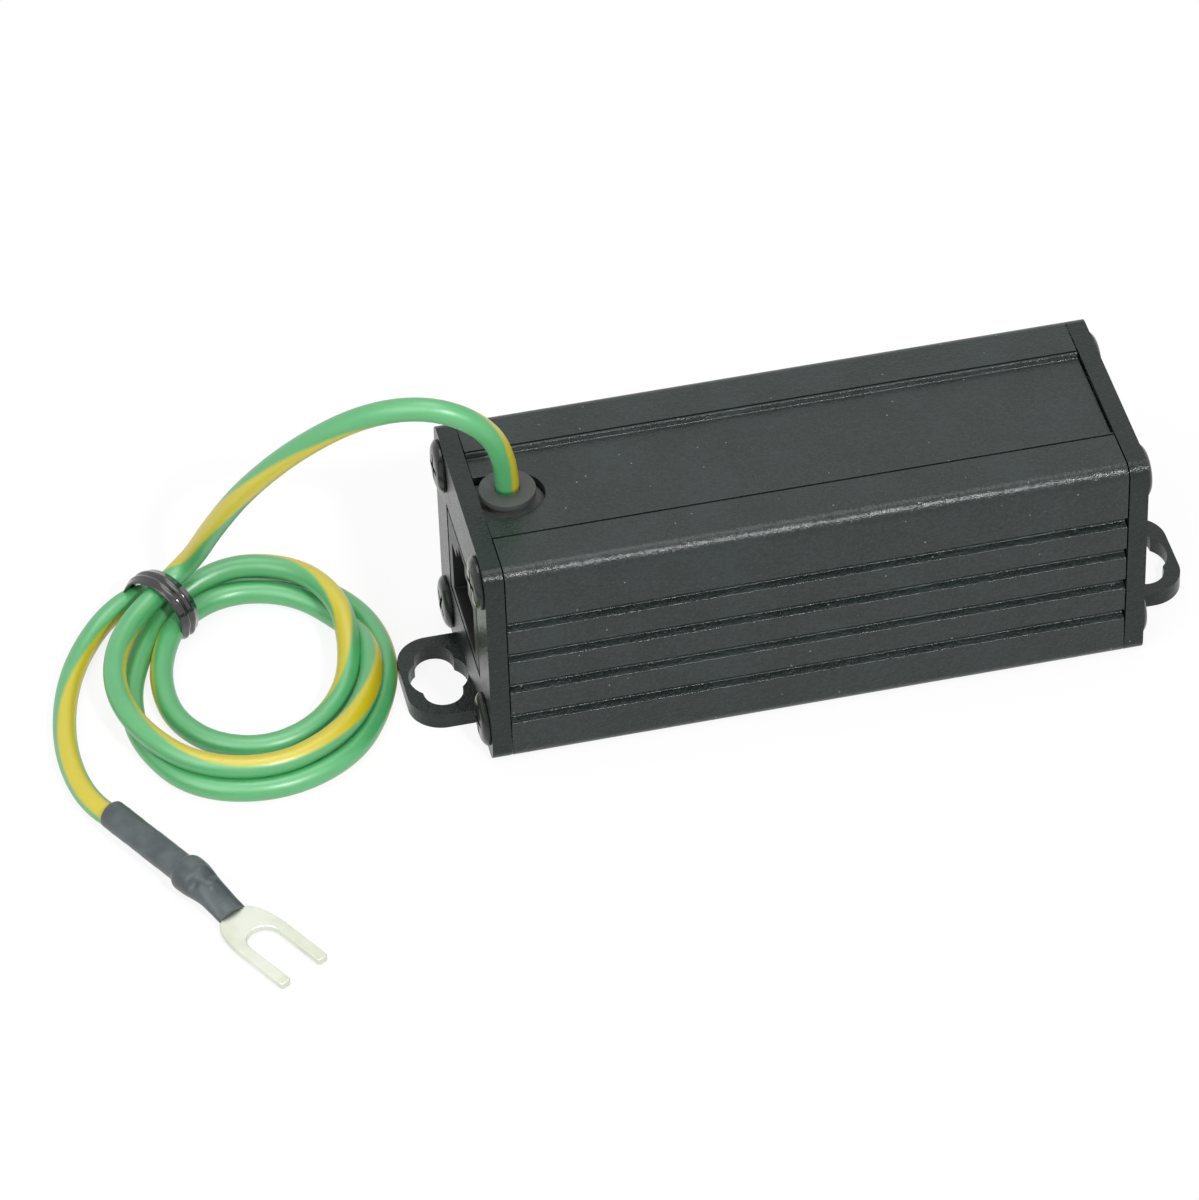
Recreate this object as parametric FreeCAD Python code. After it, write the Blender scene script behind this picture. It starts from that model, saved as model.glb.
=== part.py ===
import FreeCAD, Part
import math
import os

# In-line surge protector for a network cable, with its earth wire coiled beside it.
# Millimetres. The origin is on the base, under the middle of the extruded tube.
# +X runs towards the equipment end, +Y to the back, +Z up.

V = FreeCAD.Vector
X_AXIS = V(1, 0, 0)
Z_AXIS = V(0, 0, 1)
ORIGIN = V(0, 0, 0)

# Extruded tube
tube_length = 72.0
tube_width = 28.0
tube_height = 28.0
tube_wall = 1.8
tube_corner = 2.0
cavity_corner = 0.6
groove_count = 4
groove_pitch = 4.6
groove_first_z = 6.3
groove_mouth = 1.3
groove_floor = 0.9
groove_depth = 0.6
recess_width = 14.5
recess_depth = 0.45
recess_slope = 0.25
port_inset = 3.7
port_outer_r = 2.6
port_slit = 1.4

# End plates with their mounting feet
plate_thickness = 2.2
plate_edge = 0.35
foot_reach = 7.9
foot_width = 13.5
foot_thickness = 2.0
foot_corner = 4.0
key_from_plate = 3.4
key_head_r = 3.3
key_slot_r = 2.3
key_length = 10.2
jack_window_gap = 0.25

# End screws
screw_r = 1.45
screw_thread_gap = 0.05
screw_hole_gap = 0.15
screw_length = 8.0
screw_point = 0.8
screw_head_r = 3.1
screw_head_height = 1.1
screw_head_rim = 0.45
screw_crown_r = 2.3
cross_length = 3.2
cross_width = 0.6
cross_depth = 0.7

# Circuit board and its rails
board_thickness = 1.6
board_over_port = 0.3
board_edge_gap = 0.3
board_slide_gap = 0.15
rail_depth = 1.4
rail_height = 1.0

# Sockets
jack_width = 16.0
jack_depth = 18.0
jack_corner = 0.4
mouth_width = 11.8
mouth_share = 0.5785
sill_share = 0.1075
latch_share = 0.12
latch_widths = (6.4, 3.4)
insert_gap = 0.05
insert_depth = 4.6
insert_rear_gap = 0.3
comb_depth = 0.8
comb_top = 0.8
peg_r = 1.5
peg_gap = 0.1
peg_below_board = 0.8
peg_offset_y = 5.6
peg_from_front = 9.0
contact_count = 8
contact_pitch = 1.02
contact_width = 0.45
contact_thickness = 0.3
contact_bend_depth = 3.4
contact_tip_depth = 11.8
contact_tip_share = 0.357
contact_foot = 1.0

# Notch in the top wall and the grommet that fills it
notch_width = 7.5
notch_end_r = notch_width / 2
notch_length = 7.7
grommet_gap = 0.1
grommet_lip = 1.2
grommet_flange = 1.15
grommet_sunk = 0.25
grommet_disc_r = 3.35
grommet_disc_rise = 0.4
grommet_disc_edge = 0.3
grommet_bore_gap = 0.05

# Board components
tube_count_per_side = 2
arrester_r = 2.3
arrester_length_share = 0.639
arrester_from_edge = 1.6
arrester_electrode = 5.0
arrester_electrode_thickness = 0.9
arrester_first_x = -14.5
arrester_pitch = 7.0
resistor_size = (3.2, 1.5, 0.6)
resistor_x = -1.6
resistor_first_share = 0.3025
resistor_pitch_share = 0.168
resistor_count_per_side = 4
diode_length = 4.3
diode_height = 2.3
diode_width_share = 0.3025
diode_top_inset = 0.35
diode_tab = 0.5
diode_x = 12.6
diode_first_share = 0.252
diode_pitch_share = 0.4034
diode_count_per_side = 2

# Earth stud on the board
earth_x = 6.0
lug_thickness = 0.8
lug_ring_r = 3.2
lug_neck = 3.2
lug_barrel_r = 1.8
lug_barrel_length = 4.5
lug_barrel_end = -0.5
lug_barrel_lift = 0.1
earth_head_r = 2.8
earth_head_height = 1.9
nut_flats = 5.5
nut_height = 2.4
stud_below_nut = 0.3
conductor_r = 0.95
conductor_gap = 0.05
conductor_length = 3.4
conductor_lap = 0.6

# Earth wire
wire_d = 2.7
wire_r = wire_d / 2
inside_bend_r = 2.9
inside_bend_gap = 0.15
wire_over_jack = 0.3
inside_drop_x = -13.5
inside_land_x = -9.0
lead_route = [
    (-32.55, 0.0, 33.6),
    (-35.5, 0.2, 38.8),
    (-41.2, 1.3, 41.3),
    (-48.0, 4.6, 38.7),
    (-54.6, 9.0, 31.8),
    (-60.6, 13.4, 23.2),
    (-65.2, 18.0, 13.2),
    (-68.15, 21.4, 5.2),
]
tail_route = [
    (-74.8, 20.5, 2.6),
    (-81.2, 15.2, 1.6),
    (-85.9, 1.5, 1.35),
]
tail_last_bend = -23.4
tail_last_bend_r = 14.5
arc_share = 0.45

# Coil of three turns, bundled at the tie
coil_outer = (-63.15, 4.2, 16.8, 19.4)
coil_inner = (-61.85, 7.0, 9.9, 12.3)
oval_end_share = 0.92
coil_height = 5.6
coil_edge = 1.2
tie_x = -71.5
tie_y = 19.6
tie_turn = 36.87
bundle_width = 9.9
bundle_height = 5.1
bundle_lift = 0.5
bundle_corner = 2.2
bundle_left = 3.1
bundle_right = 5.6
strap_thickness = 0.45
strap_gap = 0.05
strap_width = 3.7
strap_groove = 0.2
strap_groove_depth = 0.2

# Fork terminal and its heat-shrink sleeve, along a line on the floor
fork_x = -71.4
fork_y = -31.9
fork_turn = -60.0
fork_thickness = 0.8
fork_lift = 0.5
fork_length = 12.2
fork_half_width = 3.35
fork_slot_r = 2.0
fork_slot_from = 5.4
fork_neck_half = 1.1
fork_root_half = 0.4
fork_shoulder_step = 0.5
fork_tip_cut = 0.4
barrel_r = 1.8
barrel_bore_r = 1.0
barrel_length = 5.0
barrel_from = 4.5
sleeve_length = 20.9
sleeve_wall = 0.3
sleeve_gap = 0.05
sleeve_swell = 3.0
sleeve_end_half = (1.75, 0.62)

# Places that follow from the sizes above
tube_end = tube_length / 2
half_width = tube_width / 2
plate_face = tube_end + plate_thickness
cavity_half = half_width - tube_wall
port_y = half_width - port_inset
port_low_z = port_inset
port_high_z = tube_height - port_inset
port_bore_r = screw_r + screw_thread_gap
board_bottom = port_low_z + port_outer_r + board_over_port
board_top = board_bottom + board_thickness
board_half_width = cavity_half - board_edge_gap
board_half_length = tube_end - board_edge_gap
recess_floor = tube_height - recess_depth
top_wall_under = tube_height - tube_wall
neck_low = top_wall_under - grommet_gap / 2
flange_low = neck_low - grommet_flange
inside_run_z = flange_low - inside_bend_gap - inside_bend_r
jack_top = inside_run_z - wire_r - wire_over_jack
jack_height = jack_top - board_top
mouth_height = mouth_share * jack_height
mouth_floor = board_top + sill_share * jack_height
latch_step = latch_share * jack_height
contact_tip_height = contact_tip_share * mouth_height
notch_centre_x = -tube_end + notch_length - notch_end_r
grommet_x = -tube_end + grommet_disc_r + grommet_gap
grommet_top = tube_height + grommet_disc_rise
arrester_length = arrester_length_share * board_half_width
arrester_y = board_half_width - arrester_from_edge - arrester_length / 2
resistor_first_y = resistor_first_share * board_half_width
resistor_pitch = resistor_pitch_share * board_half_width
diode_width = diode_width_share * board_half_width
diode_first_y = diode_first_share * board_half_width
diode_pitch = diode_pitch_share * board_half_width
lug_wire_z = board_top + lug_barrel_lift + lug_barrel_r
key_x = plate_face + key_from_plate
barrel_z = fork_lift + barrel_r


def box(x0, x1, y0, y1, z0, z1):
    return Part.makeBox(x1 - x0, y1 - y0, z1 - z0, V(x0, y0, z0))


def upright(r, x, y, z0, z1):
    return Part.makeCylinder(r, z1 - z0, V(x, y, z0), Z_AXIS)


def along_x(r, x0, x1, y, z):
    return Part.makeCylinder(r, x1 - x0, V(x0, y, z), X_AXIS)


def polygon_face(points):
    return Part.Face(Part.makePolygon([V(*p) for p in points + points[:1]]))


def rounded_section(x, half, z0, z1, r):
    # rectangle with round corners in a plane across X, centred on Y
    k = r * (1 - math.sqrt(0.5))
    corners = [(half, z0, -1, 1), (half, z1, -1, -1), (-half, z1, 1, -1), (-half, z0, 1, 1)]
    arcs = []
    for i, (y, z, sy, sz) in enumerate(corners):
        level = V(x, y + sy * r, z)
        rise = V(x, y, z + sz * r)
        start, end = (level, rise) if i % 2 == 0 else (rise, level)
        arcs.append((start, V(x, y + sy * k, z + sz * k), end))
    edges = []
    for i, (start, middle, end) in enumerate(arcs):
        following = arcs[(i + 1) % 4][0]
        edges.append(Part.Arc(start, middle, end).toShape())
        edges.append(Part.LineSegment(end, following).toShape())
    return Part.Face(Part.Wire(edges))


def revolved_about_x(profile, x, y, z):
    # profile of (axial, radial) points, closed and turned about X
    points = [V(u, 0, w) for u, w in profile]
    solid = Part.Face(Part.makePolygon(points + points[:1])).revolve(ORIGIN, X_AXIS, 360)
    solid.translate(V(x, y, z))
    return solid


def turned_end(shape):
    # the same piece at the equipment end
    copy = shape.copy()
    copy.rotate(ORIGIN, Z_AXIS, 180)
    return copy


def fused(first, others):
    return first.fuse(others).removeSplitter() if others else first


def along_tube(outline):
    # a closed outline of (y, z) points carried along the whole tube
    return polygon_face([(-tube_end, y, z) for y, z in outline]).extrude(V(tube_length, 0, 0))


def side_groove(z, side):
    y = side * half_width
    floor_y = side * (half_width - groove_depth)
    mouth = groove_mouth / 2
    floor = groove_floor / 2
    outline = [(y, z - mouth), (floor_y, z - floor), (floor_y, z + floor), (y, z + mouth)]
    return along_tube(outline)


def port_centres():
    return [(y, z) for y in (-port_y, port_y) for z in (port_low_z, port_high_z)]


def screw_port(y, z):
    # round boss in the corner, open towards the middle through a slit
    boss = along_x(port_outer_r, -tube_end, tube_end, y, z)
    bore = along_x(port_bore_r, -tube_end, tube_end, y, z)
    slit = box(-tube_end, tube_end, 0, port_outer_r * 2, -port_slit / 2, port_slit / 2)
    slit.rotate(ORIGIN, X_AXIS, math.degrees(math.atan2(tube_height / 2 - z, -y)))
    slit.translate(V(0, y, z))
    return boss, bore, slit


def board_rail(side, z0):
    inner = side * (cavity_half - rail_depth)
    outer = side * (cavity_half + tube_wall / 2)
    return box(-tube_end, tube_end, min(inner, outer), max(inner, outer), z0, z0 + rail_height)


def notch_prism(half, centre_x, open_x, z0, z1):
    # straight-sided slot with a round end, open towards the cable end
    straight = box(open_x, centre_x, -half, half, z0, z1)
    return straight.fuse(upright(half, centre_x, 0, z0, z1)).removeSplitter()


def housing_extrusion():
    outline = rounded_section(-tube_end, half_width, 0, tube_height, tube_corner)
    cavity = rounded_section(-tube_end, cavity_half, tube_wall, top_wall_under, cavity_corner)
    body = outline.extrude(V(tube_length, 0, 0)).cut(cavity.extrude(V(tube_length, 0, 0)))
    ports = [screw_port(y, z) for y, z in port_centres()]
    rails = []
    for side in (-1, 1):
        rails.append(board_rail(side, board_bottom - board_slide_gap - rail_height))
        rails.append(board_rail(side, board_top + board_slide_gap))
    body = fused(body, [boss for boss, bore, slit in ports] + rails)
    body = body.common(outline.extrude(V(tube_length, 0, 0)))
    cuts = [tool for boss, bore, slit in ports for tool in (bore, slit)]
    for i in range(groove_count):
        cuts += [side_groove(groove_first_z + i * groove_pitch, side) for side in (-1, 1)]
    top = recess_width / 2
    low = top - recess_slope
    recess = [(-top, tube_height), (-low, recess_floor), (low, recess_floor), (top, tube_height)]
    cuts.append(along_tube(recess))
    cuts.append(notch_prism(notch_end_r, notch_centre_x, -tube_end - 1, top_wall_under - 1, tube_height + 1))
    return body.cut(cuts).removeSplitter()


def keyhole(x):
    # round middle for a screw head, with a slot for its shank at each side
    reach = key_length / 2 - key_slot_r
    tools = [upright(key_slot_r, x, y, -1, foot_thickness + 1) for y in (-reach, reach)]
    tools.append(box(x - key_slot_r, x + key_slot_r, -reach, reach, -1, foot_thickness + 1))
    return fused(upright(key_head_r, x, 0, -1, foot_thickness + 1), tools)


def mounting_foot():
    outer = -plate_face - foot_reach
    inner = -plate_face
    half = foot_width / 2
    foot = box(outer, inner, -half, half, 0, foot_thickness)
    upright_edges = [e for e in foot.Edges if e.BoundBox.ZLength > 0.5]
    corners = [e for e in upright_edges if e.BoundBox.XMax < outer + 0.01]
    foot = foot.makeFillet(foot_corner, corners)
    top_edges = [e for e in foot.Edges if e.BoundBox.ZMin > foot_thickness - 0.01]
    top_rim = [e for e in top_edges if e.BoundBox.XMin < inner - 0.5]
    foot = foot.makeChamfer(plate_edge, top_rim)
    return foot.cut(keyhole(-key_x))


def end_plate():
    section = rounded_section(-plate_face, half_width, 0, tube_height, tube_corner)
    plate = section.extrude(V(plate_thickness, 0, 0))
    rim = [e for e in plate.Edges if e.BoundBox.XMax < -plate_face + 0.01]
    plate = plate.makeChamfer(plate_edge, rim)
    foot = mounting_foot()
    root = box(-plate_face - 0.01, -tube_end, -foot_width / 2, foot_width / 2, 0, foot_thickness)
    plate = fused(plate, [foot, root])
    hole_r = screw_r + screw_hole_gap
    cuts = [along_x(hole_r, -plate_face - 1, -tube_end + 1, y, z) for y, z in port_centres()]
    window_half = jack_width / 2 + jack_window_gap
    low = board_top - jack_window_gap
    high = jack_top + jack_window_gap
    cuts.append(box(-plate_face - 1, -tube_end + 1, -window_half, window_half, low, high))
    return plate.cut(cuts).removeSplitter()


def screw_cross(x, y, z, depth_axis):
    # two crossed slots, sunk along X or Z from a point on the head's face
    arms = []
    for long_first in (True, False):
        a = (cross_length if long_first else cross_width) / 2
        b = (cross_width if long_first else cross_length) / 2
        if depth_axis == "x":
            arms.append(box(x - screw_head_height, x + cross_depth, y - a, y + a, z - b, z + b))
        else:
            arms.append(box(x - a, x + a, y - b, y + b, z - cross_depth, z + screw_head_height))
    return arms


def end_screw(y, z):
    # low raised head with a cross recess, thread-forming shank with a blunt point
    profile = [
        (-screw_head_height, 0),
        (-screw_head_height, screw_crown_r),
        (-screw_head_rim, screw_head_r),
        (0, screw_head_r),
        (0, screw_r),
        (screw_length - screw_point, screw_r),
        (screw_length, screw_r - screw_point / 2),
        (screw_length, 0),
    ]
    screw = revolved_about_x(profile, -plate_face, y, z)
    return screw.cut(screw_cross(-plate_face - screw_head_height, y, z, "x"))


def end_screws():
    return Part.makeCompound([end_screw(y, z) for y, z in port_centres()])


def jack_housing():
    front = -plate_face
    half = jack_width / 2
    body = box(front, front + jack_depth, -half, half, board_top, jack_top)
    rim = [e for e in body.Edges if e.BoundBox.XMax < front + 0.01]
    body = body.makeChamfer(jack_corner, rim)
    peg_x = front + peg_from_front
    peg_tip = board_bottom - peg_below_board
    pegs = [upright(peg_r, peg_x, side * peg_offset_y, peg_tip, board_top + 0.5) for side in (-1, 1)]
    body = fused(body, pegs)
    half_mouth = mouth_width / 2
    mouth_top = mouth_floor + mouth_height
    cuts = [box(front - 1, front + jack_depth + 1, -half_mouth, half_mouth, mouth_floor, mouth_top)]
    latch_end = front + jack_depth - insert_depth
    for i, width in enumerate(latch_widths):
        z1 = mouth_top + (i + 1) * latch_step
        cuts.append(box(front - 1, latch_end, -width / 2, width / 2, mouth_top - 1, z1))
    return body.cut(cuts).removeSplitter()


def contact_ys():
    first = -contact_pitch * (contact_count - 1) / 2
    return [first + i * contact_pitch for i in range(contact_count)]


def jack_insert():
    # block that holds the springs down at the back of the mouth, with a comb for their tips
    rear = -plate_face + jack_depth - insert_rear_gap
    half = mouth_width / 2 - insert_gap
    low = mouth_floor + contact_thickness + insert_gap
    high = mouth_floor + mouth_height - insert_gap
    front = rear - insert_depth
    block = box(front, rear, -half, half, low, high)
    slot_half = contact_width / 2 + insert_gap
    comb_low = mouth_floor + contact_tip_height - comb_depth
    comb_high = high - comb_top
    slots = []
    for y in contact_ys():
        slots.append(box(front - 1, front + comb_depth, y - slot_half, y + slot_half, comb_low, comb_high))
    return block.cut(slots)


def contact_spring(y):
    # a wire from its foot on the board, along the mouth's floor, round the bend and back up to a free tip
    t = contact_thickness
    y0 = y - contact_width / 2
    y1 = y + contact_width / 2
    bend_x = -plate_face + contact_bend_depth
    tip_x = -plate_face + contact_tip_depth
    rear_x = -plate_face + jack_depth
    strip = box(bend_x, rear_x + 2 * t, y0, y1, mouth_floor, mouth_floor + t)
    bend = Part.makeCylinder(t, contact_width, V(bend_x, y0, mouth_floor + t), V(0, 1, 0))
    rise = contact_tip_height - t
    run = tip_x - bend_x
    arm = box(0, math.hypot(run, rise), y0, y1, 0, t)
    arm.rotate(ORIGIN, V(0, 1, 0), -math.degrees(math.atan2(rise, run)))
    arm.translate(V(bend_x, 0, mouth_floor + t))
    riser = box(rear_x + t, rear_x + 2 * t, y0, y1, board_top, mouth_floor + t)
    foot = box(rear_x + t, rear_x + t + contact_foot, y0, y1, board_top, board_top + t)
    return fused(strip, [bend, arm, riser, foot])


def jack_contacts():
    return Part.makeCompound([contact_spring(y) for y in contact_ys()])


def circuit_board():
    long_half = board_half_length
    wide_half = board_half_width
    board = box(-long_half, long_half, -wide_half, wide_half, board_bottom, board_top)
    holes = [upright(screw_r + screw_hole_gap, earth_x, 0, board_bottom - 1, board_top + 1)]
    for end in (-1, 1):
        for side in (-1, 1):
            x = end * (plate_face - peg_from_front)
            holes.append(upright(peg_r + peg_gap, x, side * peg_offset_y, board_bottom - 1, board_top + 1))
    return board.cut(holes)


def gas_tube(x, side):
    # ceramic barrel between three square electrodes that stand on the board
    z = board_top + arrester_electrode / 2
    middle = side * arrester_y
    y0 = middle - arrester_length / 2
    barrel = Part.makeCylinder(arrester_r, arrester_length, V(x, y0, z), V(0, 1, 0))
    half = arrester_electrode / 2
    t = arrester_electrode_thickness
    plates = []
    for start in (y0, middle - t / 2, y0 + arrester_length - t):
        plates.append(box(x - half, x + half, start, start + t, board_top, board_top + arrester_electrode))
    return fused(barrel, plates)


def gas_tubes():
    tubes = []
    for i in range(tube_count_per_side):
        for side in (-1, 1):
            tubes.append(gas_tube(arrester_first_x + i * arrester_pitch, side))
    return Part.makeCompound(tubes)


def line_resistors():
    length, width, height = resistor_size
    x0 = resistor_x - length / 2
    chips = []
    for side in (-1, 1):
        for i in range(resistor_count_per_side):
            y0 = side * (resistor_first_y + i * resistor_pitch) - width / 2
            chips.append(box(x0, x0 + length, y0, y0 + width, board_top, board_top + height))
    return Part.makeCompound(chips)


def clamp_diode(y):
    # moulded body that narrows upwards, with a folded tab at each end
    length, width, height = diode_length, diode_width, diode_height
    sections = []
    for inset, rise in ((0, 0), (0, height / 2), (diode_top_inset, height)):
        x = length / 2 - inset
        w = width / 2 - inset
        z = board_top + rise
        left, right = diode_x - x, diode_x + x
        low, high = y - w, y + w
        corners = [V(left, low, z), V(right, low, z), V(right, high, z), V(left, high, z)]
        sections.append(Part.makePolygon(corners + corners[:1]))
    body = Part.makeLoft(sections, True, True)
    reach = length / 2 + diode_tab
    tab_top = board_top + height / 2
    tab = box(diode_x - reach, diode_x + reach, y - width / 4, y + width / 4, board_top, tab_top)
    return fused(body, [tab])


def clamp_diodes():
    steps = [diode_first_y + i * diode_pitch for i in range(diode_count_per_side)]
    return Part.makeCompound([clamp_diode(side * y) for side in (-1, 1) for y in steps])


def earth_lug():
    # ring terminal: flat ring and neck, with the crimp barrel rolled up from it
    top = board_top + lug_thickness
    barrel_start = lug_barrel_end - lug_barrel_length
    ring = upright(lug_ring_r, earth_x, 0, board_top, top)
    neck = box(lug_barrel_end - 1, earth_x, -lug_neck / 2, lug_neck / 2, board_top, top)
    barrel = along_x(lug_barrel_r, barrel_start, lug_barrel_end, 0, lug_wire_z)
    lug = fused(ring, [neck, barrel])
    bore = along_x(conductor_r + conductor_gap, barrel_start - 1, lug_barrel_end + 1, 0, lug_wire_z)
    hole = upright(screw_r + screw_hole_gap, earth_x, 0, board_top - 1, top + 1)
    return lug.cut([hole, bore]).removeSplitter()


def earth_screw():
    seat = board_top + lug_thickness
    tip = board_bottom - nut_height - stud_below_nut
    top = seat + earth_head_height
    head = upright(earth_head_r, earth_x, 0, seat, top)
    head = head.makeChamfer(earth_head_height / 3, [e for e in head.Edges if e.BoundBox.ZMin > top - 0.01])
    screw = fused(head, [upright(screw_r, earth_x, 0, tip, seat + 0.1)])
    return screw.cut(screw_cross(earth_x, 0, top, "z"))


def earth_nut():
    radius = nut_flats / math.sqrt(3)
    low = board_bottom - nut_height
    turns = [math.radians(60 * i) for i in range(6)]
    corners = [(earth_x + radius * math.cos(t), radius * math.sin(t), low) for t in turns]
    nut = polygon_face(corners).extrude(V(0, 0, nut_height))
    return nut.cut(upright(port_bore_r, earth_x, 0, low - 1, board_bottom + 1))


def cable_grommet():
    half = notch_end_r - grommet_gap
    open_x = -tube_end + grommet_gap
    neck_top = recess_floor - grommet_sunk
    neck = notch_prism(half, notch_centre_x, open_x, neck_low, neck_top)
    wide = half + grommet_lip
    flange = notch_prism(wide, notch_centre_x, open_x, flange_low, neck_low)
    flange = flange.common(box(open_x, 0, -wide, wide, flange_low, neck_low))
    disc = upright(grommet_disc_r, grommet_x, 0, neck_low, grommet_top)
    rim = [e for e in disc.Edges if e.BoundBox.ZMin > grommet_top - 0.01]
    disc = disc.makeChamfer(grommet_disc_edge, rim)
    body = fused(neck, [flange, disc])
    bore = upright(wire_r + grommet_bore_gap, grommet_x, 0, neck_low - 3, grommet_top + 1)
    return body.cut(bore)


def route_path(points, radii=None):
    # straight runs joined by tangent arcs, each arc as large as its two runs allow
    pts = [V(*p) for p in points]
    edges = []
    used = []
    start = pts[0]
    for i in range(1, len(pts) - 1):
        back = (pts[i - 1] - pts[i])
        ahead = (pts[i + 1] - pts[i])
        turn = math.pi - back.getAngle(ahead)
        shorter = min(back.Length, ahead.Length)
        radius = arc_share * shorter / math.tan(turn / 2)
        if radii and radii[i - 1]:
            radius = radii[i - 1]
        used.append(radius)
        trim = radius * math.tan(turn / 2)
        back.normalize()
        ahead.normalize()
        inward = back + ahead
        inward.normalize()
        p0 = pts[i] + back * trim
        p1 = pts[i] + ahead * trim
        middle = pts[i] + inward * (radius / math.cos(turn / 2) - radius)
        edges.append(Part.LineSegment(start, p0).toShape())
        edges.append(Part.Arc(p0, middle, p1).toShape())
        start = p1
    edges.append(Part.LineSegment(start, pts[-1]).toShape())
    return Part.Wire(edges), used


def wire_tube(name, points, radii=None):
    path, used = route_path(points, radii)
    direction = V(*points[1]) - V(*points[0])
    section = Part.Wire([Part.makeCircle(wire_r, V(*points[0]), direction)])
    tube = path.makePipeShell([section], True, False)
    share = tube.Volume / (math.pi * wire_r**2 * path.Length)
    radii_text = " ".join(f"{r:.1f}" for r in used)
    print(f"{name}: length {path.Length:.1f}, volume share {share:.4f}, arc radii {radii_text}")
    return tube


def earth_lead_inside():
    # from the grommet's top down into the case, over the socket and down to the lug
    start = lug_barrel_end - lug_barrel_length
    route = [
        (grommet_x, 0, grommet_top),
        (grommet_x, 0, inside_run_z),
        (inside_drop_x, 0, inside_run_z),
        (inside_land_x, 0, lug_wire_z),
        (start, 0, lug_wire_z),
    ]
    tube = wire_tube("earth_lead_inside", route, [inside_bend_r, None, None])
    core = along_x(conductor_r, start - conductor_lap, start + conductor_length, 0, lug_wire_z)
    return fused(tube, [core])


def bundle_place(shape):
    shape.rotate(ORIGIN, Z_AXIS, tie_turn)
    shape.translate(V(tie_x, tie_y, 0))
    return shape


def oval_prism(centre_x, centre_y, half_x, half_y, z0, z1):
    # four tangent arcs: tight ones at the two Y ends, wide ones along the two sides
    end_r = oval_end_share * half_x
    end_y = half_y - end_r
    side_r = (half_x**2 + end_y**2 - end_r**2) / (2 * (half_x - end_r))
    side_x = side_r - half_x
    span = math.hypot(side_x, end_y)
    meet_x = side_r * side_x / span - side_x
    meet_y = side_r * end_y / span
    edges = []
    stops = [(meet_x, meet_y), (0, half_y), (-meet_x, meet_y), (-half_x, 0), (-meet_x, -meet_y), (0, -half_y)]
    stops += [(meet_x, -meet_y), (half_x, 0), (meet_x, meet_y)]
    for i in range(0, 8, 2):
        a, b, c = [V(centre_x + x, centre_y + y, z0) for x, y in stops[i : i + 3]]
        edges.append(Part.Arc(a, b, c).toShape())
    return Part.Face(Part.Wire(edges)).extrude(V(0, 0, z1 - z0))


def earth_wire_coil():
    # outer shape of the three turns, with the straight bundle under the tie
    outer = oval_prism(*coil_outer, 0, coil_height)
    outer = outer.makeChamfer(coil_edge, [e for e in outer.Edges if e.BoundBox.ZLength < 0.01])
    ring = outer.cut(oval_prism(*coil_inner, -1, coil_height + 1))
    lap = 0.3
    space = box(-bundle_left + lap, bundle_right - lap, -bundle_width, bundle_width, -1, coil_height + 1)
    bundle_top = bundle_lift + bundle_height
    section = rounded_section(-bundle_left, bundle_width / 2, bundle_lift, bundle_top, bundle_corner)
    bundle = section.extrude(V(bundle_left + bundle_right, 0, 0))
    ring = ring.cut(bundle_place(space))
    return fused(ring, [bundle_place(bundle)])


def strap_loop(grow, half_width):
    # the bundle's outline with the strap's clearance, grown outwards and as wide as the strap
    half = bundle_width / 2 + strap_gap + grow
    low = bundle_lift - strap_gap - grow
    high = bundle_lift + bundle_height + strap_gap + grow
    section = rounded_section(-half_width, half, low, high, bundle_corner + strap_gap + grow)
    return section.extrude(V(2 * half_width, 0, 0))


def wire_tie():
    # strap wound twice round the bundle, the two bands parted by a shallow groove
    edge = strap_width / 2
    gap = strap_groove / 2
    bands = strap_loop(strap_thickness, edge).cut(strap_loop(0, edge))
    waist = strap_loop(strap_thickness - strap_groove_depth, gap)
    groove = strap_loop(strap_thickness, gap).cut(waist)
    return bundle_place(bands.cut(groove))


def fork_place(shape):
    shape.rotate(ORIGIN, Z_AXIS, fork_turn)
    shape.translate(V(fork_x, fork_y, 0))
    return shape


def fork_point(u, z):
    # point on the terminal's centre line, u along it from the end of the sleeve
    a = math.radians(fork_turn)
    return (fork_x + u * math.cos(a), fork_y + u * math.sin(a), z)


def fork_outline():
    z = fork_lift
    w = fork_half_width
    n = fork_neck_half
    s = fork_slot_r
    c = fork_tip_cut
    end = fork_length
    side = fork_slot_from
    shoulder = (0.42 * side, 0.84 * w)
    edges = []

    def line(a, b):
        edges.append(Part.LineSegment(V(a[0], a[1], z), V(b[0], b[1], z)).toShape())

    def arc(a, b, d):
        edges.append(Part.Arc(V(a[0], a[1], z), V(b[0], b[1], z), V(d[0], d[1], z)).toShape())

    root = -barrel_from - 0.2
    r = fork_root_half
    step = n + fork_shoulder_step
    line((root, -r), (0, -n))
    line((0, -n), (0, -step))
    arc((0, -step), (shoulder[0], -shoulder[1]), (side, -w))
    line((side, -w), (end - c, -w))
    line((end - c, -w), (end, -w + c))
    line((end, -w + c), (end, -s - c))
    line((end, -s - c), (end - c, -s))
    line((end - c, -s), (side, -s))
    arc((side, -s), (side - s, 0), (side, s))
    line((side, s), (end - c, s))
    line((end - c, s), (end, s + c))
    line((end, s + c), (end, w - c))
    line((end, w - c), (end - c, w))
    line((end - c, w), (side, w))
    arc((side, w), shoulder, (0, step))
    line((0, step), (0, n))
    line((0, n), (root, r))
    line((root, r), (root, -r))
    return Part.Face(Part.Wire(edges))


def fork_terminal():
    tongue = fork_outline().extrude(V(0, 0, fork_thickness))
    start = -barrel_from - barrel_length
    barrel = along_x(barrel_r, start, -barrel_from, 0, barrel_z)
    bore = along_x(barrel_bore_r, start - 1, -barrel_from + 1, 0, barrel_z)
    return fork_place(fused(tongue, [barrel]).cut(bore).removeSplitter())


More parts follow.
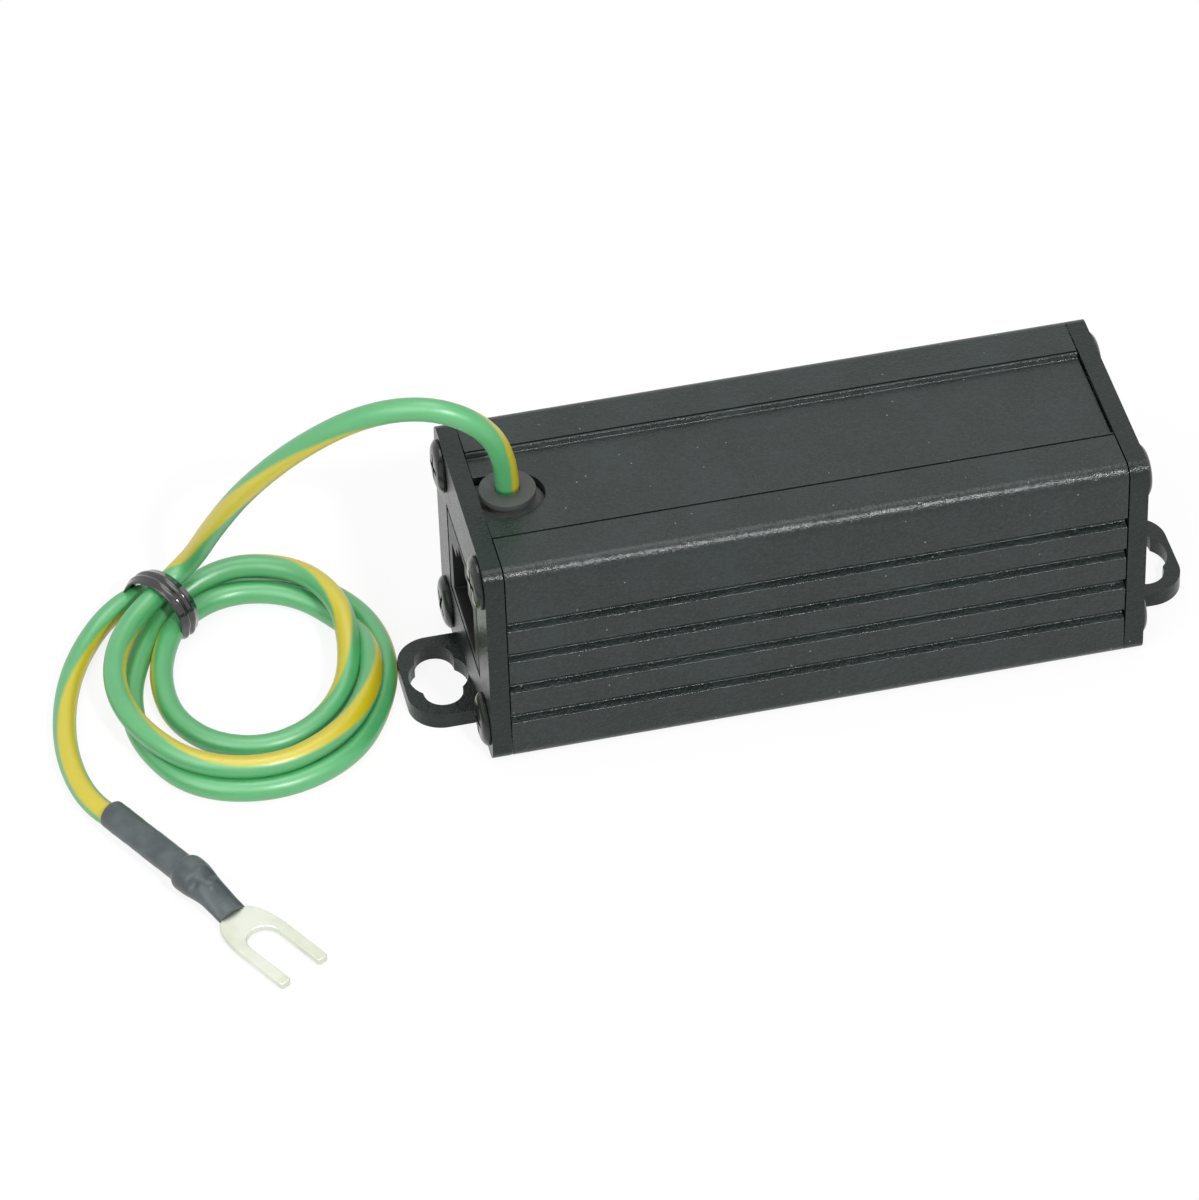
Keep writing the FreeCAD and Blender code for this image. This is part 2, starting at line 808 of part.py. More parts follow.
def sleeve_form(wall):
    # round over the wire and the barrel, then flattened on to the terminal's neck
    wire = wire_r + sleeve_gap + wall
    crimp = barrel_r + sleeve_gap + wall
    rear = -barrel_from - barrel_length
    profile = [
        (-sleeve_length, 0),
        (-sleeve_length, wire),
        (rear - sleeve_swell, wire),
        (rear, crimp),
        (-barrel_from, crimp),
        (-barrel_from, 0),
    ]
    round_part = revolved_about_x(profile, 0, 0, barrel_z)
    neck_z = fork_lift + fork_thickness / 2
    below = min(wall, 0.15)
    end_w, end_h = sleeve_end_half
    stations = [
        (-barrel_from, barrel_z, crimp, crimp),
        (-barrel_from / 2, barrel_z - 0.7 + (wall - below) / 2, crimp, 1.4 + (wall + below) / 2),
        (0, neck_z, end_w + wall, end_h + wall),
    ]
    sections = []
    for u, z, half_w, half_h in stations:
        ellipse = Part.Ellipse(V(u, 0, z), half_w, half_h)
        ellipse.Axis = X_AXIS
        ellipse.XAxis = V(0, 1, 0)
        sections.append(Part.Wire([ellipse.toShape()]))
    return round_part.fuse(Part.makeLoft(sections, True, True))


def heat_shrink_sleeve():
    return fork_place(sleeve_form(sleeve_wall).cut(sleeve_form(0)))


def earth_wire_lead(coil):
    route = [(grommet_x, 0, grommet_top)] + lead_route
    return wire_tube("earth_wire_lead", route).cut(coil)


def earth_wire_tail(coil):
    # the insulation stops square against the barrel and the bare conductor goes on into it
    end = -barrel_from - barrel_length
    route = tail_route + [fork_point(tail_last_bend, barrel_z), fork_point(end, barrel_z)]
    tube = wire_tube("earth_wire_tail", route, [None, None, tail_last_bend_r])
    core = fork_place(along_x(conductor_r, end - conductor_lap, end + conductor_length, 0, barrel_z))
    return fused(tube.cut(coil), [core])


def largest_solid(shape):
    return max(shape.Solids, key=lambda s: s.Volume)


def build():
    coil = largest_solid(earth_wire_coil())
    plate = end_plate()
    screws = end_screws()
    socket = jack_housing()
    insert = jack_insert()
    contacts = jack_contacts()
    return {
        "housing_extrusion": housing_extrusion(),
        "cable_end_plate": plate,
        "equipment_end_plate": turned_end(plate),
        "cable_end_screws": screws,
        "equipment_end_screws": turned_end(screws),
        "cable_jack_housing": socket,
        "equipment_jack_housing": turned_end(socket),
        "cable_jack_insert": insert,
        "equipment_jack_insert": turned_end(insert),
        "cable_jack_contacts": contacts,
        "equipment_jack_contacts": turned_end(contacts),
        "circuit_board": circuit_board(),
        "gas_discharge_tubes": gas_tubes(),
        "line_resistors": line_resistors(),
        "clamp_diodes": clamp_diodes(),
        "earth_lug": earth_lug(),
        "earth_screw": earth_screw(),
        "earth_nut": earth_nut(),
        "earth_lead_inside": earth_lead_inside(),
        "cable_grommet": cable_grommet(),
        "earth_wire_lead": largest_solid(earth_wire_lead(coil)),
        "earth_wire_coil": coil,
        "earth_wire_tail": largest_solid(earth_wire_tail(coil)),
        "wire_tie": wire_tie(),
        "heat_shrink_sleeve": heat_shrink_sleeve(),
        "fork_terminal": fork_terminal(),
    }


os.makedirs("parts", exist_ok=True)
for name, shape in build().items():
    shape.exportStep(f"parts/{name}.step")
    solids = len(shape.Solids)
    print(f"{name}: {solids} solid(s), valid {shape.isValid()}, volume {shape.Volume:.1f}")
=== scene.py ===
import math

import bmesh
import bpy
from mathutils import Matrix, Vector


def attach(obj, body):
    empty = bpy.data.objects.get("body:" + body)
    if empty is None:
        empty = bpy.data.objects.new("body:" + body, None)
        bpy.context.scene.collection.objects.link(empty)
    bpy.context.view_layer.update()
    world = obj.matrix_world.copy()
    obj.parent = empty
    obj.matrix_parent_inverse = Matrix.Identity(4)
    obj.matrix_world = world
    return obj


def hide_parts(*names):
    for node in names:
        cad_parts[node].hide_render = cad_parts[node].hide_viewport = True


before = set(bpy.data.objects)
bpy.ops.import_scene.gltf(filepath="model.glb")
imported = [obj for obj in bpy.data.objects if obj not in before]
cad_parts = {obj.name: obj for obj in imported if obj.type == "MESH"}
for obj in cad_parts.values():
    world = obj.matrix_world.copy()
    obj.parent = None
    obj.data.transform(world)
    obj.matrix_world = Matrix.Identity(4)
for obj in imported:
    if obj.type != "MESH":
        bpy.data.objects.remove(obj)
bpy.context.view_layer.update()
scene = bpy.context.scene
mm = 0.001
print("frame loaded with", len(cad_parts), "nodes")

# The case lies along X with its cable end at -X, the base is on the floor and +Z is up.


def newPiece(name, data):
    piece = bpy.data.objects.new(name, data)
    scene.collection.objects.link(piece)
    return piece


photoView = {
    "azimuth": -11.363,  # degrees round the case from its front
    "elevation": 41.7066,
    "roll": -2.0473,
    "distance": 744.74,  # mm from the middle of the case
    "aimRight": 21.785,  # mm that the case sits right of and above the picture's centre
    "aimUp": 7.234,
    "aimHeight": 14.0,
    "lens": 195.405,
}


def viewDirections():
    # the picture's right, up and towards-the-viewer directions, without the camera's roll
    azimuth = math.radians(photoView["azimuth"])
    elevation = math.radians(photoView["elevation"])
    level = math.cos(elevation)
    toward = Vector((math.sin(azimuth) * level, -math.cos(azimuth) * level, math.sin(elevation)))
    right = Vector((0, 0, 1)).cross(toward).normalized()
    return right, toward.cross(right), toward


def pictureWay(shares):
    # a direction from its shares of the picture's right, up and towards-the-viewer
    return sum((way * share for way, share in zip(viewDirections(), shares)), Vector())


def placeCamera():
    right, up, toward = viewDirections()
    roll = math.radians(photoView["roll"])
    camRight = right * math.cos(roll) + up * math.sin(roll)
    camUp = up * math.cos(roll) - right * math.sin(roll)
    spot = Vector((0, 0, photoView["aimHeight"])) + toward * photoView["distance"]
    spot -= camRight * photoView["aimRight"] + camUp * photoView["aimUp"]
    data = bpy.data.cameras.new("photoCamera")
    data.lens = photoView["lens"]
    camera = newPiece("photoCamera", data)
    camera.matrix_world = Matrix.Translation(spot * mm) @ Matrix((camRight, camUp, toward)).transposed().to_4x4()
    scene.camera = camera


placeCamera()


def twoSided(operation, swapped=False):
    def between(self, other):
        first, second = (other, self) if swapped else (self, other)
        return self.nodes.add("ShaderNodeMath", {0: first, 1: second}, {"operation": operation})

    return between


class Link:
    # a node's output, written into expressions as a number would be
    __add__ = twoSided("ADD")
    __radd__ = twoSided("ADD", True)
    __sub__ = twoSided("SUBTRACT")
    __rsub__ = twoSided("SUBTRACT", True)
    __mul__ = twoSided("MULTIPLY")
    __gt__ = twoSided("GREATER_THAN")
    __lt__ = twoSided("LESS_THAN")
    most = twoSided("MAXIMUM")
    folded = twoSided("PINGPONG")

    def __init__(self, nodes, socket):
        self.nodes = nodes
        self.socket = socket

    def size(self):
        return self.nodes.add("ShaderNodeMath", {0: self}, {"operation": "ABSOLUTE"})

    def fade(self, low, high):
        sockets = {"Value": self, "From Min": low, "From Max": high}
        return self.nodes.add("ShaderNodeMapRange", sockets, {"interpolation_type": "SMOOTHSTEP"})


class Nodes:
    # adds nodes to one tree: a node's type, its sockets' values or links, then its settings

    def __init__(self, tree):
        self.tree = tree

    def add(self, kind, sockets={}, settings={}, out=0):
        node = self.tree.nodes.new(kind)
        for name, value in settings.items():
            setattr(node, name, value)
        for key, value in sockets.items():
            for item in value if isinstance(value, list) else [value]:
                if isinstance(item, Link):
                    self.tree.links.new(item.socket, node.inputs[key])
                else:
                    node.inputs[key].default_value = item
        return Link(self, node.outputs[out] if node.outputs else None)


def emptied(owner):
    # the node tree of a material or world, with nothing in it
    owner.use_nodes = True
    owner.node_tree.nodes.clear()
    return owner.node_tree


def paint(red, green, blue):
    # a colour as a picture's 0-255 values, for a shader socket
    def linear(value):
        share = value / 255
        return share / 12.92 if share <= 0.04045 else ((share + 0.055) / 1.055) ** 2.4

    return (linear(red), linear(green), linear(blue), 1.0)


class Finish(Nodes):
    # a material of one principled surface

    def __init__(self, name):
        self.material = bpy.data.materials.new(name)
        super().__init__(emptied(self.material))
        self.place = self.add("ShaderNodeTexCoord", out="Object")

    def noise(self, perMetre, detail=2.0, roughness=0.5, stretch=(1, 1, 1)):
        place = self.add("ShaderNodeMapping", {"Vector": self.place, "Scale": stretch})
        sockets = {"Vector": place, "Scale": perMetre, "Detail": detail, "Roughness": roughness}
        return self.add("ShaderNodeTexNoise", sockets)

    def cells(self, perMetre, out="Distance"):
        return self.add("ShaderNodeTexVoronoi", {"Vector": self.place, "Scale": perMetre}, out=out)

    def blend(self, share, first, second):
        # the two are 0-255 colours, or the first an earlier blend
        first, second = [item if isinstance(item, Link) else paint(*item) for item in (first, second)]
        return self.add("ShaderNodeMix", {0: share, 6: first, 7: second}, {"data_type": "RGBA"}, out=2)

    def bump(self, height, distance):
        return self.add("ShaderNodeBump", {"Strength": 1.0, "Distance": distance, "Height": height})

    def done(self, sockets):
        shader = self.add("ShaderNodeBsdfPrincipled", sockets)
        self.add("ShaderNodeOutputMaterial", {"Surface": shader})
        return self.material


caseCoat = {
    "dark": (21, 30, 28),
    "light": (32, 43, 41),
    # the painted glints: bright dots in the colour that stand in for the sparkle of light on the coat
    "paintedGlint": (132, 138, 134),
    "paintedGlintSize": 0.09,  # share of a cell
    "paintedGlintCount": 0.12,  # share of the cells that hold one
    "paintedGlintStrength": 0.7,
    "paintedGlintCellsPerMetre": 900,
    "grainPerMetre": 2900,
    "grainDepth": 0.072 * mm,
    "peelPerMetre": 900,
    "peelShare": 0.8,
    "cloudPerMetre": 140,
    "cloudShare": 0.3,
    "toneFade": (0.36, 0.64),  # from the dark to the light colour
    "roughness": 0.27,
    "roughnessSpread": 0.12,
    "specular": 0.43,
}
# the case's coat painted darker as shade for the end plates and their feet, with a weaker reflection
shadedPlateCoat = {**caseCoat, "dark": (17, 25, 23), "light": (26, 36, 34), "specular": 0.33}


def coatedMetal(name, coat):
    # powder-coated aluminium: fine orange peel, with sparse bright dots painted into its colour as glints of light on
    # the coat
    finish = Finish(name)
    grain = finish.noise(coat["grainPerMetre"], 3.0, 0.55)
    cloud = finish.noise(coat["cloudPerMetre"], 2.0)
    tone = (grain * (1 - coat["cloudShare"]) + cloud * coat["cloudShare"]).fade(*coat["toneFade"])
    body = finish.blend(tone, coat["dark"], coat["light"])
    cells = coat["paintedGlintCellsPerMetre"]
    chance = finish.add("ShaderNodeSeparateColor", {"Color": finish.cells(cells, "Color")})
    # painted glints: a few cells get a bright dot, standing in for light caught by the coat
    paintedGlint = (finish.cells(cells) < coat["paintedGlintSize"]) * (chance > 1 - coat["paintedGlintCount"])
    colour = finish.blend(paintedGlint * coat["paintedGlintStrength"], body, coat["paintedGlint"])
    peel = grain + finish.noise(coat["peelPerMetre"], 1.0) * coat["peelShare"]
    sockets = {
        "Base Color": colour,
        "Roughness": coat["roughness"] + (cloud - 0.5) * coat["roughnessSpread"],
        "Normal": finish.bump(peel, coat["grainDepth"]),
        "Specular IOR Level": coat["specular"],
    }
    return finish.done(sockets)


boardSkin = {
    "dark": (16, 88, 52),
    "light": (24, 104, 62),
    "track": (52, 140, 70),
    "trackSpacing": 1.3 * mm,
    "trackEdge": (0.35 * mm, 0.4 * mm),  # from a gap's middle
    "trackDepth": 0.03 * mm,
    "trackShare": 0.6,
    "weavePerMetre": 300,
    "weaveShare": 0.3,
    "roughness": 0.3,
    "roughnessSpread": 0.06,
}


def boardLaminate():
    # solder resist over glass weave, with a few wide copper tracks under it
    skin = boardSkin
    finish = Finish("boardGreen")
    across = finish.add("ShaderNodeSeparateXYZ", {"Vector": finish.place}, out="Y")
    bands = {"Vector": finish.place, "Scale": skin["weavePerMetre"]}
    weave = finish.add("ShaderNodeTexWave", bands, {"bands_direction": "DIAGONAL"})
    tracks = across.folded(skin["trackSpacing"]).fade(*skin["trackEdge"])
    green = finish.blend(weave * skin["weaveShare"], skin["dark"], skin["light"])
    sockets = {
        "Base Color": finish.blend(tracks * skin["trackShare"], green, skin["track"]),
        "Roughness": skin["roughness"] + weave * skin["roughnessSpread"],
        "Normal": finish.bump(tracks, skin["trackDepth"]),
    }
    return finish.done(sockets)


wireSkin = {
    "green": (76, 164, 100),
    "shade": (62, 151, 88),
    "yellow": (191, 177, 3),
    "stripeHalf": 0.14,  # share of the way round, each side of the stripe's middle
    "stripeSoft": 0.036,
    "stripeWander": 0.03,
    "wanderPerMetre": 90,
    "cloudPerMetre": 220,
    "grainPerMetre": 1400,
    "grainDepth": 0.012 * mm,
    "roughness": 0.4,
    "roughnessSpread": 0.12,
    "specular": 1.0,
    "coat": 0.35,
    "coatRoughness": 0.42,
    "through": 0.12,  # share of the light that goes in
    "throughDepth": 0.6 * mm,
}


def wireInsulation():
    # two-colour skin: the stripe follows the wire's own map, length along it and share round it
    skin = wireSkin
    finish = Finish("wireGreen")
    flat = finish.add("ShaderNodeUVMap", settings={"uv_map": "wireMap"})
    around = finish.add("ShaderNodeSeparateXYZ", {"Vector": flat}, out="Y")
    wander = (finish.noise(skin["wanderPerMetre"], 1.0) - 0.5) * skin["stripeWander"]
    half, soft = skin["stripeHalf"], skin["stripeSoft"]
    stripe = 1 - (around + wander - 0.5).size().fade(half - soft, half + soft)
    cloud = finish.noise(skin["cloudPerMetre"])
    sockets = {
        "Base Color": finish.blend(stripe, finish.blend(cloud, skin["shade"], skin["green"]), skin["yellow"]),
        "Roughness": skin["roughness"] + (cloud - 0.5) * skin["roughnessSpread"],
        "Normal": finish.bump(finish.noise(skin["grainPerMetre"]), skin["grainDepth"]),
        "Specular IOR Level": skin["specular"],
        "Coat Weight": skin["coat"],
        "Coat Roughness": skin["coatRoughness"],
        "Subsurface Weight": skin["through"],
        "Subsurface Scale": skin["throughDepth"],
    }
    return finish.done(sockets)


def grained(name, dark, light, roughness, fine, broad=None, detail=3.0, stretch=(1, 1, 1), full=0.7,
            gloss=(0.2, 0.0), relief=(1.0, 0.0), depth=0.01, metallic=0.0, coat=0.0):
    # fine grain and broad clouds, both per metre; gloss and relief say how much each of them adds there
    finish = Finish(name)
    cloud = finish.noise(broad or fine / 6)
    grain = finish.noise(fine, detail, stretch=stretch)
    sockets = {
        "Base Color": finish.blend(cloud.fade(0.3, full) if full else grain, dark, light),
        "Metallic": metallic,
        "Roughness": roughness + (grain - 0.5) * gloss[0] + (cloud - 0.5) * gloss[1],
        "Normal": finish.bump(grain * relief[0] + cloud * relief[1], depth * mm),
        "Coat Weight": coat,
    }
    return finish.done(sockets)


grainedSkins = {  # two colours, roughness and grain; what a skin doesn't say is as grained has it
    "screwDark": ((24, 26, 27), (40, 42, 43), 0.2, 1600, {"depth": 0.008, "metallic": 0.3}),
    "socketBlack": ((18, 19, 20), (30, 31, 33), 0.4, 1500, {}),
    "insertBlack": ((26, 27, 29), (40, 41, 43), 0.5, 1500, {}),
    "arresterCeramic": ((206, 204, 198), (228, 226, 220), 0.35, 1200, {}),
    "componentBlack": ((24, 24, 26), (40, 40, 42), 0.5, 2000, {"depth": 0.02}),
    "grommetRubber": ((56, 60, 57), (68, 72, 69), 0.62, 1800, {"depth": 0.02}),
    "wireInside": (wireSkin["shade"], wireSkin["green"], 0.36, 1400, {"depth": 0.012}),
    "tieBlack": ((16, 16, 17), (28, 28, 30), 0.15, 2400, {"depth": 0.012, "coat": 0.8}),
    "contactGold": (  # brushed; its lines carry the colour
        (214, 170, 80), (240, 205, 120), 0.31, 6000,
        {"detail": 2.0, "stretch": (0.06, 1, 1), "full": None, "gloss": (0.18, 0.0), "depth": 0.004, "metallic": 1.0},
    ),
    "sleeveGrey": (
        (62, 70, 72), (78, 86, 88), 0.4, 2600,
        {"broad": 420, "gloss": (0.0, 0.3), "relief": (0.25, 1.0), "depth": 0.09},
    ),
    "tinnedMetal": (  # rolling marks and faint stains
        (226, 230, 218), (206, 210, 190), 0.34, 3000,
        {"broad": 260, "stretch": (0.2, 0.4, 1), "full": 0.75, "gloss": (0.08, 0.2), "relief": (1.0, 1.0),
         "depth": 0.012, "metallic": 0.85},
    ),
}
materials = {
    "caseGrey": coatedMetal("caseGrey", caseCoat),
    "plateGrey": coatedMetal("plateGrey", shadedPlateCoat),
    "boardGreen": boardLaminate(),
    "wireGreen": wireInsulation(),
    **{name: grained(name, *skin[:4], **skin[4]) for name, skin in grainedSkins.items()},
}
packedLooks = {  # the nodes that show as packed, by their finish
    "insertBlack": ("cable_jack_insert", "equipment_jack_insert"),
    "contactGold": ("cable_jack_contacts", "equipment_jack_contacts"),
    "boardGreen": ("circuit_board",),
    "arresterCeramic": ("gas_discharge_tubes",),
    "componentBlack": ("line_resistors", "clamp_diodes"),
    "tinnedMetal": ("earth_lug", "earth_screw", "earth_nut"),
    "wireInside": ("earth_lead_inside",),
}
for finishName, nodeNames in packedLooks.items():
    for nodeName in nodeNames:
        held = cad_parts[nodeName].data.materials
        held.clear()
        held.append(materials[finishName])
print("materials made:", len(materials))


def meshOf(name, points, faces, place=None, edges=()):
    # points in millimetres; place turns and moves them into the frame first
    mesh = bpy.data.meshes.new(name)
    moved = [(place @ Vector(p) if place else Vector(p)) * mm for p in points]
    mesh.from_pydata(moved, edges, faces)
    mesh.update()
    return mesh


class MeshEdit:
    # one mesh opened for bmesh, written back when its block ends

    def __init__(self, mesh):
        self.mesh = mesh

    def __enter__(self):
        self.bm = bmesh.new()
        self.bm.from_mesh(self.mesh)
        return self.bm

    def __exit__(self, *problem):
        self.bm.to_mesh(self.mesh)
        self.bm.free()


def closedPiece(name, points, faces, place=None):
    # a solid whose faces all look outward
    mesh = meshOf(name, points, faces, place)
    with MeshEdit(mesh) as bm:
        bmesh.ops.recalc_face_normals(bm, faces=bm.faces)
    return newPiece(name, mesh)


def band(first, second, count):
    # the quads between two rings of points
    return [(first + j, first + (j + 1) % count, second + (j + 1) % count, second + j) for j in range(count)]


def settle(piece):
    # what the modifiers show becomes the piece's plain mesh
    bpy.context.view_layer.update()
    shown = piece.evaluated_get(bpy.context.evaluated_depsgraph_get())
    plain = bpy.data.meshes.new_from_object(shown)
    plain.name = piece.name
    piece.modifiers.clear()
    piece.data = plain
    return piece


def shaped(piece, operation, others):
    # cuts the others out of the piece, or welds them on
    for i, other in enumerate(others):
        tool = piece.modifiers.new(f"shape{i}", "BOOLEAN")
        tool.object = other
        tool.operation = operation
        tool.solver = "EXACT"
    settle(piece)
    for other in others:
        bpy.data.objects.remove(other)
    return piece


def softEdges(piece, width, segments=2, angle=28, leftSharp=None):
    # a small radius on each edge but those left sharp (on none without a width); flats are shaded flat
    with MeshEdit(piece.data) as bm:
        for face in bm.faces:
            face.smooth = True
        weight = bm.edges.layers.float.new("bevel_weight_edge") if width else None
        for edge in bm.edges:
            if edge.is_manifold and edge.calc_face_angle() > math.radians(angle):
                middle = (edge.verts[0].co + edge.verts[1].co) / 2 / mm
                edge.smooth = bool(width) and not (leftSharp and leftSharp(middle))
                if edge.smooth:
                    edge[weight] = 1.0
    if width:
        bevel = piece.modifiers.new("edges", "BEVEL")
        bevel.width = width * mm
        bevel.segments = segments
        bevel.limit_method = "WEIGHT"
        bevel.use_clamp_overlap = True
    piece.modifiers.new("shading", "WEIGHTED_NORMAL").keep_sharp = True
    return settle(piece)


def cleaned(piece):
    # no double points, slivers or points along a straight edge
    near = 0.004 * mm
    with MeshEdit(piece.data) as bm:
        bmesh.ops.remove_doubles(bm, verts=bm.verts, dist=near)
        bmesh.ops.dissolve_degenerate(bm, edges=bm.edges, dist=near)
        bmesh.ops.dissolve_limit(bm, angle_limit=math.radians(1), verts=bm.verts, edges=bm.edges)
        bmesh.ops.triangulate(bm, faces=[face for face in bm.faces if len(face.verts) > 4])
    return piece


def finished(piece, finishName, slotName, *nodeNames):
    piece.data.materials.clear()
    piece.data.materials.append(materials[finishName])
    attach(piece, "root")
    if nodeNames:
        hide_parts(*nodeNames)
    return piece


def arc(centre, radius, start, end, steps):
    # points from one angle to another, in degrees, both ends included
    turn = [math.radians(start + (end - start) * i / steps) for i in range(steps + 1)]
    return [(centre[0] + radius * math.cos(t), centre[1] + radius * math.sin(t)) for t in turn]


def ring(centre, radius, count):
    # a full circle's points
    return arc(centre, radius, 0, 360 - 360 / count, count - 1)


def roundedOutline(half, low, high, radius, steps=10):
    corners = [(half, low, -90), (half, high, 0), (-half, high, 90), (-half, low, 180)]
    points = []
    for x, y, start in corners:
        inward = (x - math.copysign(radius, x), y + (radius if y == low else -radius))
        points += arc(inward, radius, start, start + 90, steps)
    return points


class Shape(Nodes):
    # a geometry group with named inputs, which ends in a solid with a material

    def __init__(self, name, **inputs):
        super().__init__(bpy.data.node_groups.new(name, "GeometryNodeTree"))
        kinds = {"Geometry": "Geometry", **inputs, "Finish": "Material"}
        for socket, kind in kinds.items():
            self.tree.interface.new_socket(name=socket, in_out="INPUT", socket_type="NodeSocket" + kind)
        self.tree.interface.new_socket(name="Geometry", in_out="OUTPUT", socket_type="NodeSocketGeometry")
        node = self.tree.nodes.new("NodeGroupInput")
        self.given = {socket: Link(self, node.outputs[socket]) for socket in kinds}

    def done(self, geometry):
        real = self.add("GeometryNodeRealizeInstances", {"Geometry": geometry})
        sockets = {"Geometry": real, "Material": self.given["Finish"]}
        self.add("NodeGroupOutput", {"Geometry": self.add("GeometryNodeSetMaterial", sockets)})
        return self.tree


samePoint = 0.0005 * mm


def sheetGroup():
    # outlines in the XY plane are filled, inner ones as holes, and drawn up into a closed solid
    nodes = Shape("solidFromOutlines", Depth="Float")
    curves = nodes.add("GeometryNodeMeshToCurve", {"Mesh": nodes.given["Geometry"]})
    filled = nodes.add("GeometryNodeFillCurve", {"Curve": curves}, {"mode": "NGONS"})
    up = nodes.add("ShaderNodeCombineXYZ", {"Z": nodes.given["Depth"]})
    drawn = nodes.add("GeometryNodeExtrudeMesh", {"Mesh": filled, "Offset": up, "Individual": False})
    under = nodes.add("GeometryNodeFlipFaces", {"Mesh": filled})
    whole = nodes.add("GeometryNodeJoinGeometry", {"Geometry": [drawn, under]})
    return nodes.done(nodes.add("GeometryNodeMergeByDistance", {"Geometry": whole, "Distance": samePoint}))


outlineGroup = sheetGroup()


def setInputs(modifier, values):
    # a modifier's inputs are set by their sockets' identifiers
    for item in modifier.node_group.interface.items_tree:
        if item.item_type == "SOCKET" and item.in_out == "INPUT" and item.name in values:
            modifier[item.identifier] = values[item.name]


def solidFrom(name, outlines, depth, place, finishName="caseGrey"):
    # closed outlines in millimetres, drawn depth along their own Z and then put in place
    points, edges = [], []
    for outline in outlines:
        first, count = len(edges), len(outline)
        points += [(x, y, 0) for x, y in outline]
        edges += [(first + i, first + (i + 1) % count) for i in range(count)]
    piece = newPiece(name, meshOf(name, points, [], edges=edges))
    modifier = piece.modifiers.new("solid", "NODES")
    modifier.node_group = outlineGroup
    setInputs(modifier, {"Depth": depth * mm, "Finish": materials[finishName]})
    settle(piece)
    piece.data.transform(Matrix.Scale(1 / mm, 4))
    piece.data.transform(Matrix.Scale(mm, 4) @ place)
    with MeshEdit(piece.data) as bm:
        bmesh.ops.remove_doubles(bm, verts=bm.verts, dist=samePoint)
        bmesh.ops.recalc_face_normals(bm, faces=bm.faces)
    return piece


# Places in the case's own cross-section: a section's X is the case's Y, its Y is Z and its depth runs along +X.
sectionPlace = Matrix(((0, 0, 1, 0), (1, 0, 0, 0), (0, 1, 0, 0), (0, 0, 0, 1)))
halfTurn = Matrix.Rotation(math.pi, 4, "Z")

caseTube = {
    "length": 72.0,
    "endGap": 0.13,  # what shows as a dark line between the tube and each plate
    "halfWidth": 14.0,
    "height": 28.0,
    "wall": 1.8,
    "cornerRadius": 1.6,
    "grooveCount": 4,
    "grooveFirst": 6.3,
    "groovePitch": 4.6,
    "grooveMouth": 1.45,
    "grooveFloor": 0.6,
    "grooveDepth": 0.85,
    "recessHalf": 7.25,
    "recessSlope": 0.25,
    "recessDepth": 0.6,
    "lineWidth": 0.26,  # the fine slot beside each step of the recess
    "lineDepth": 0.4,
    "lineInset": 0.22,
    "portInset": 3.7,
    "portOuter": 2.6,
    "portBore": 1.5,
    "portSlit": 1.4,
    "railDepth": 1.4,
    "rails": (6.45, 8.35, 9.35),  # the board slot's floor and roof, and the upper rail's top
    "notchHalf": 3.75,
    "notchLength": 7.7,
    "notchBelow": 5.0,  # how far under the top its cut starts
    "edge": 0.2,
}
tubeEnd = caseTube["length"] / 2


def mirrored(points):
    # the right half of an outline, then its mirror image back to the start
    return points + [(-y, z) for y, z in reversed(points)]


def tubeOuter(tube):
    half, top, r = tube["halfWidth"], tube["height"], tube["cornerRadius"]
    right = arc((half - r, r), r, -90, 0, 10)
    for i in range(tube["grooveCount"]):
        z = tube["grooveFirst"] + i * tube["groovePitch"]
        mouth, floor = tube["grooveMouth"] / 2, tube["grooveFloor"] / 2
        deep = half - tube["grooveDepth"]
        right += [(half, z - mouth), (deep, z - floor), (deep, z + floor), (half, z + mouth)]
    right += arc((half - r, top - r), r, 0, 90, 10)
    wide = tube["recessHalf"]
    near, low = wide + tube["lineInset"], top - tube["lineDepth"]
    far = near + tube["lineWidth"]
    right += [(far, top), (far, low), (near, low), (near, top), (wide, top)]
    right += [(wide - tube["recessSlope"], top - tube["recessDepth"])]
    return mirrored(right)


def screwPort(tube, top):
    # from the side wall round the boss, in through the slit, round the bore and out to the floor or roof
    half = tube["halfWidth"] - tube["wall"]
    inset, outer, bore = tube["portInset"], tube["portOuter"], tube["portBore"]
    centre = (tube["halfWidth"] - inset, inset)
    slit = math.atan2(tube["height"] / 2 - centre[1], -centre[0])
    mouth = math.asin(tube["portSlit"] / 2 / outer)
    throat = math.asin(tube["portSlit"] / 2 / bore)
    wallReach = half - centre[0] if top else half - tube["railDepth"] - centre[0]
    wallAngle = math.acos(wallReach / outer)
    floorAngle = math.pi + math.asin((inset - tube["wall"]) / outer)
    degrees = math.degrees
    points = arc(centre, outer, degrees(wallAngle), degrees(slit - mouth), 8)
    points += arc(centre, bore, degrees(slit - throat), degrees(slit + throat) - 360, 26)
    points += arc(centre, outer, degrees(slit + mouth), degrees(floorAngle), 8)
    return [(y, tube["height"] - z) for y, z in points] if top else points


def tubeInner(tube):
    half = tube["halfWidth"] - tube["wall"]
    shelf = half - tube["railDepth"]
    floor, roof, top = tube["rails"]
    right = list(reversed(screwPort(tube, False)))
    right += [(shelf, floor), (half, floor), (half, roof), (shelf, roof), (shelf, top), (half, top)]
    right += screwPort(tube, True)
    return mirrored(right)


def notchOutline(start, half):
    # from a place along the tube to the notch's round end
    middle = caseTube["notchLength"] - caseTube["notchHalf"] - tubeEnd
    return [(start, -half)] + arc((middle, 0), half, -90, 90, 32) + [(start, half)]


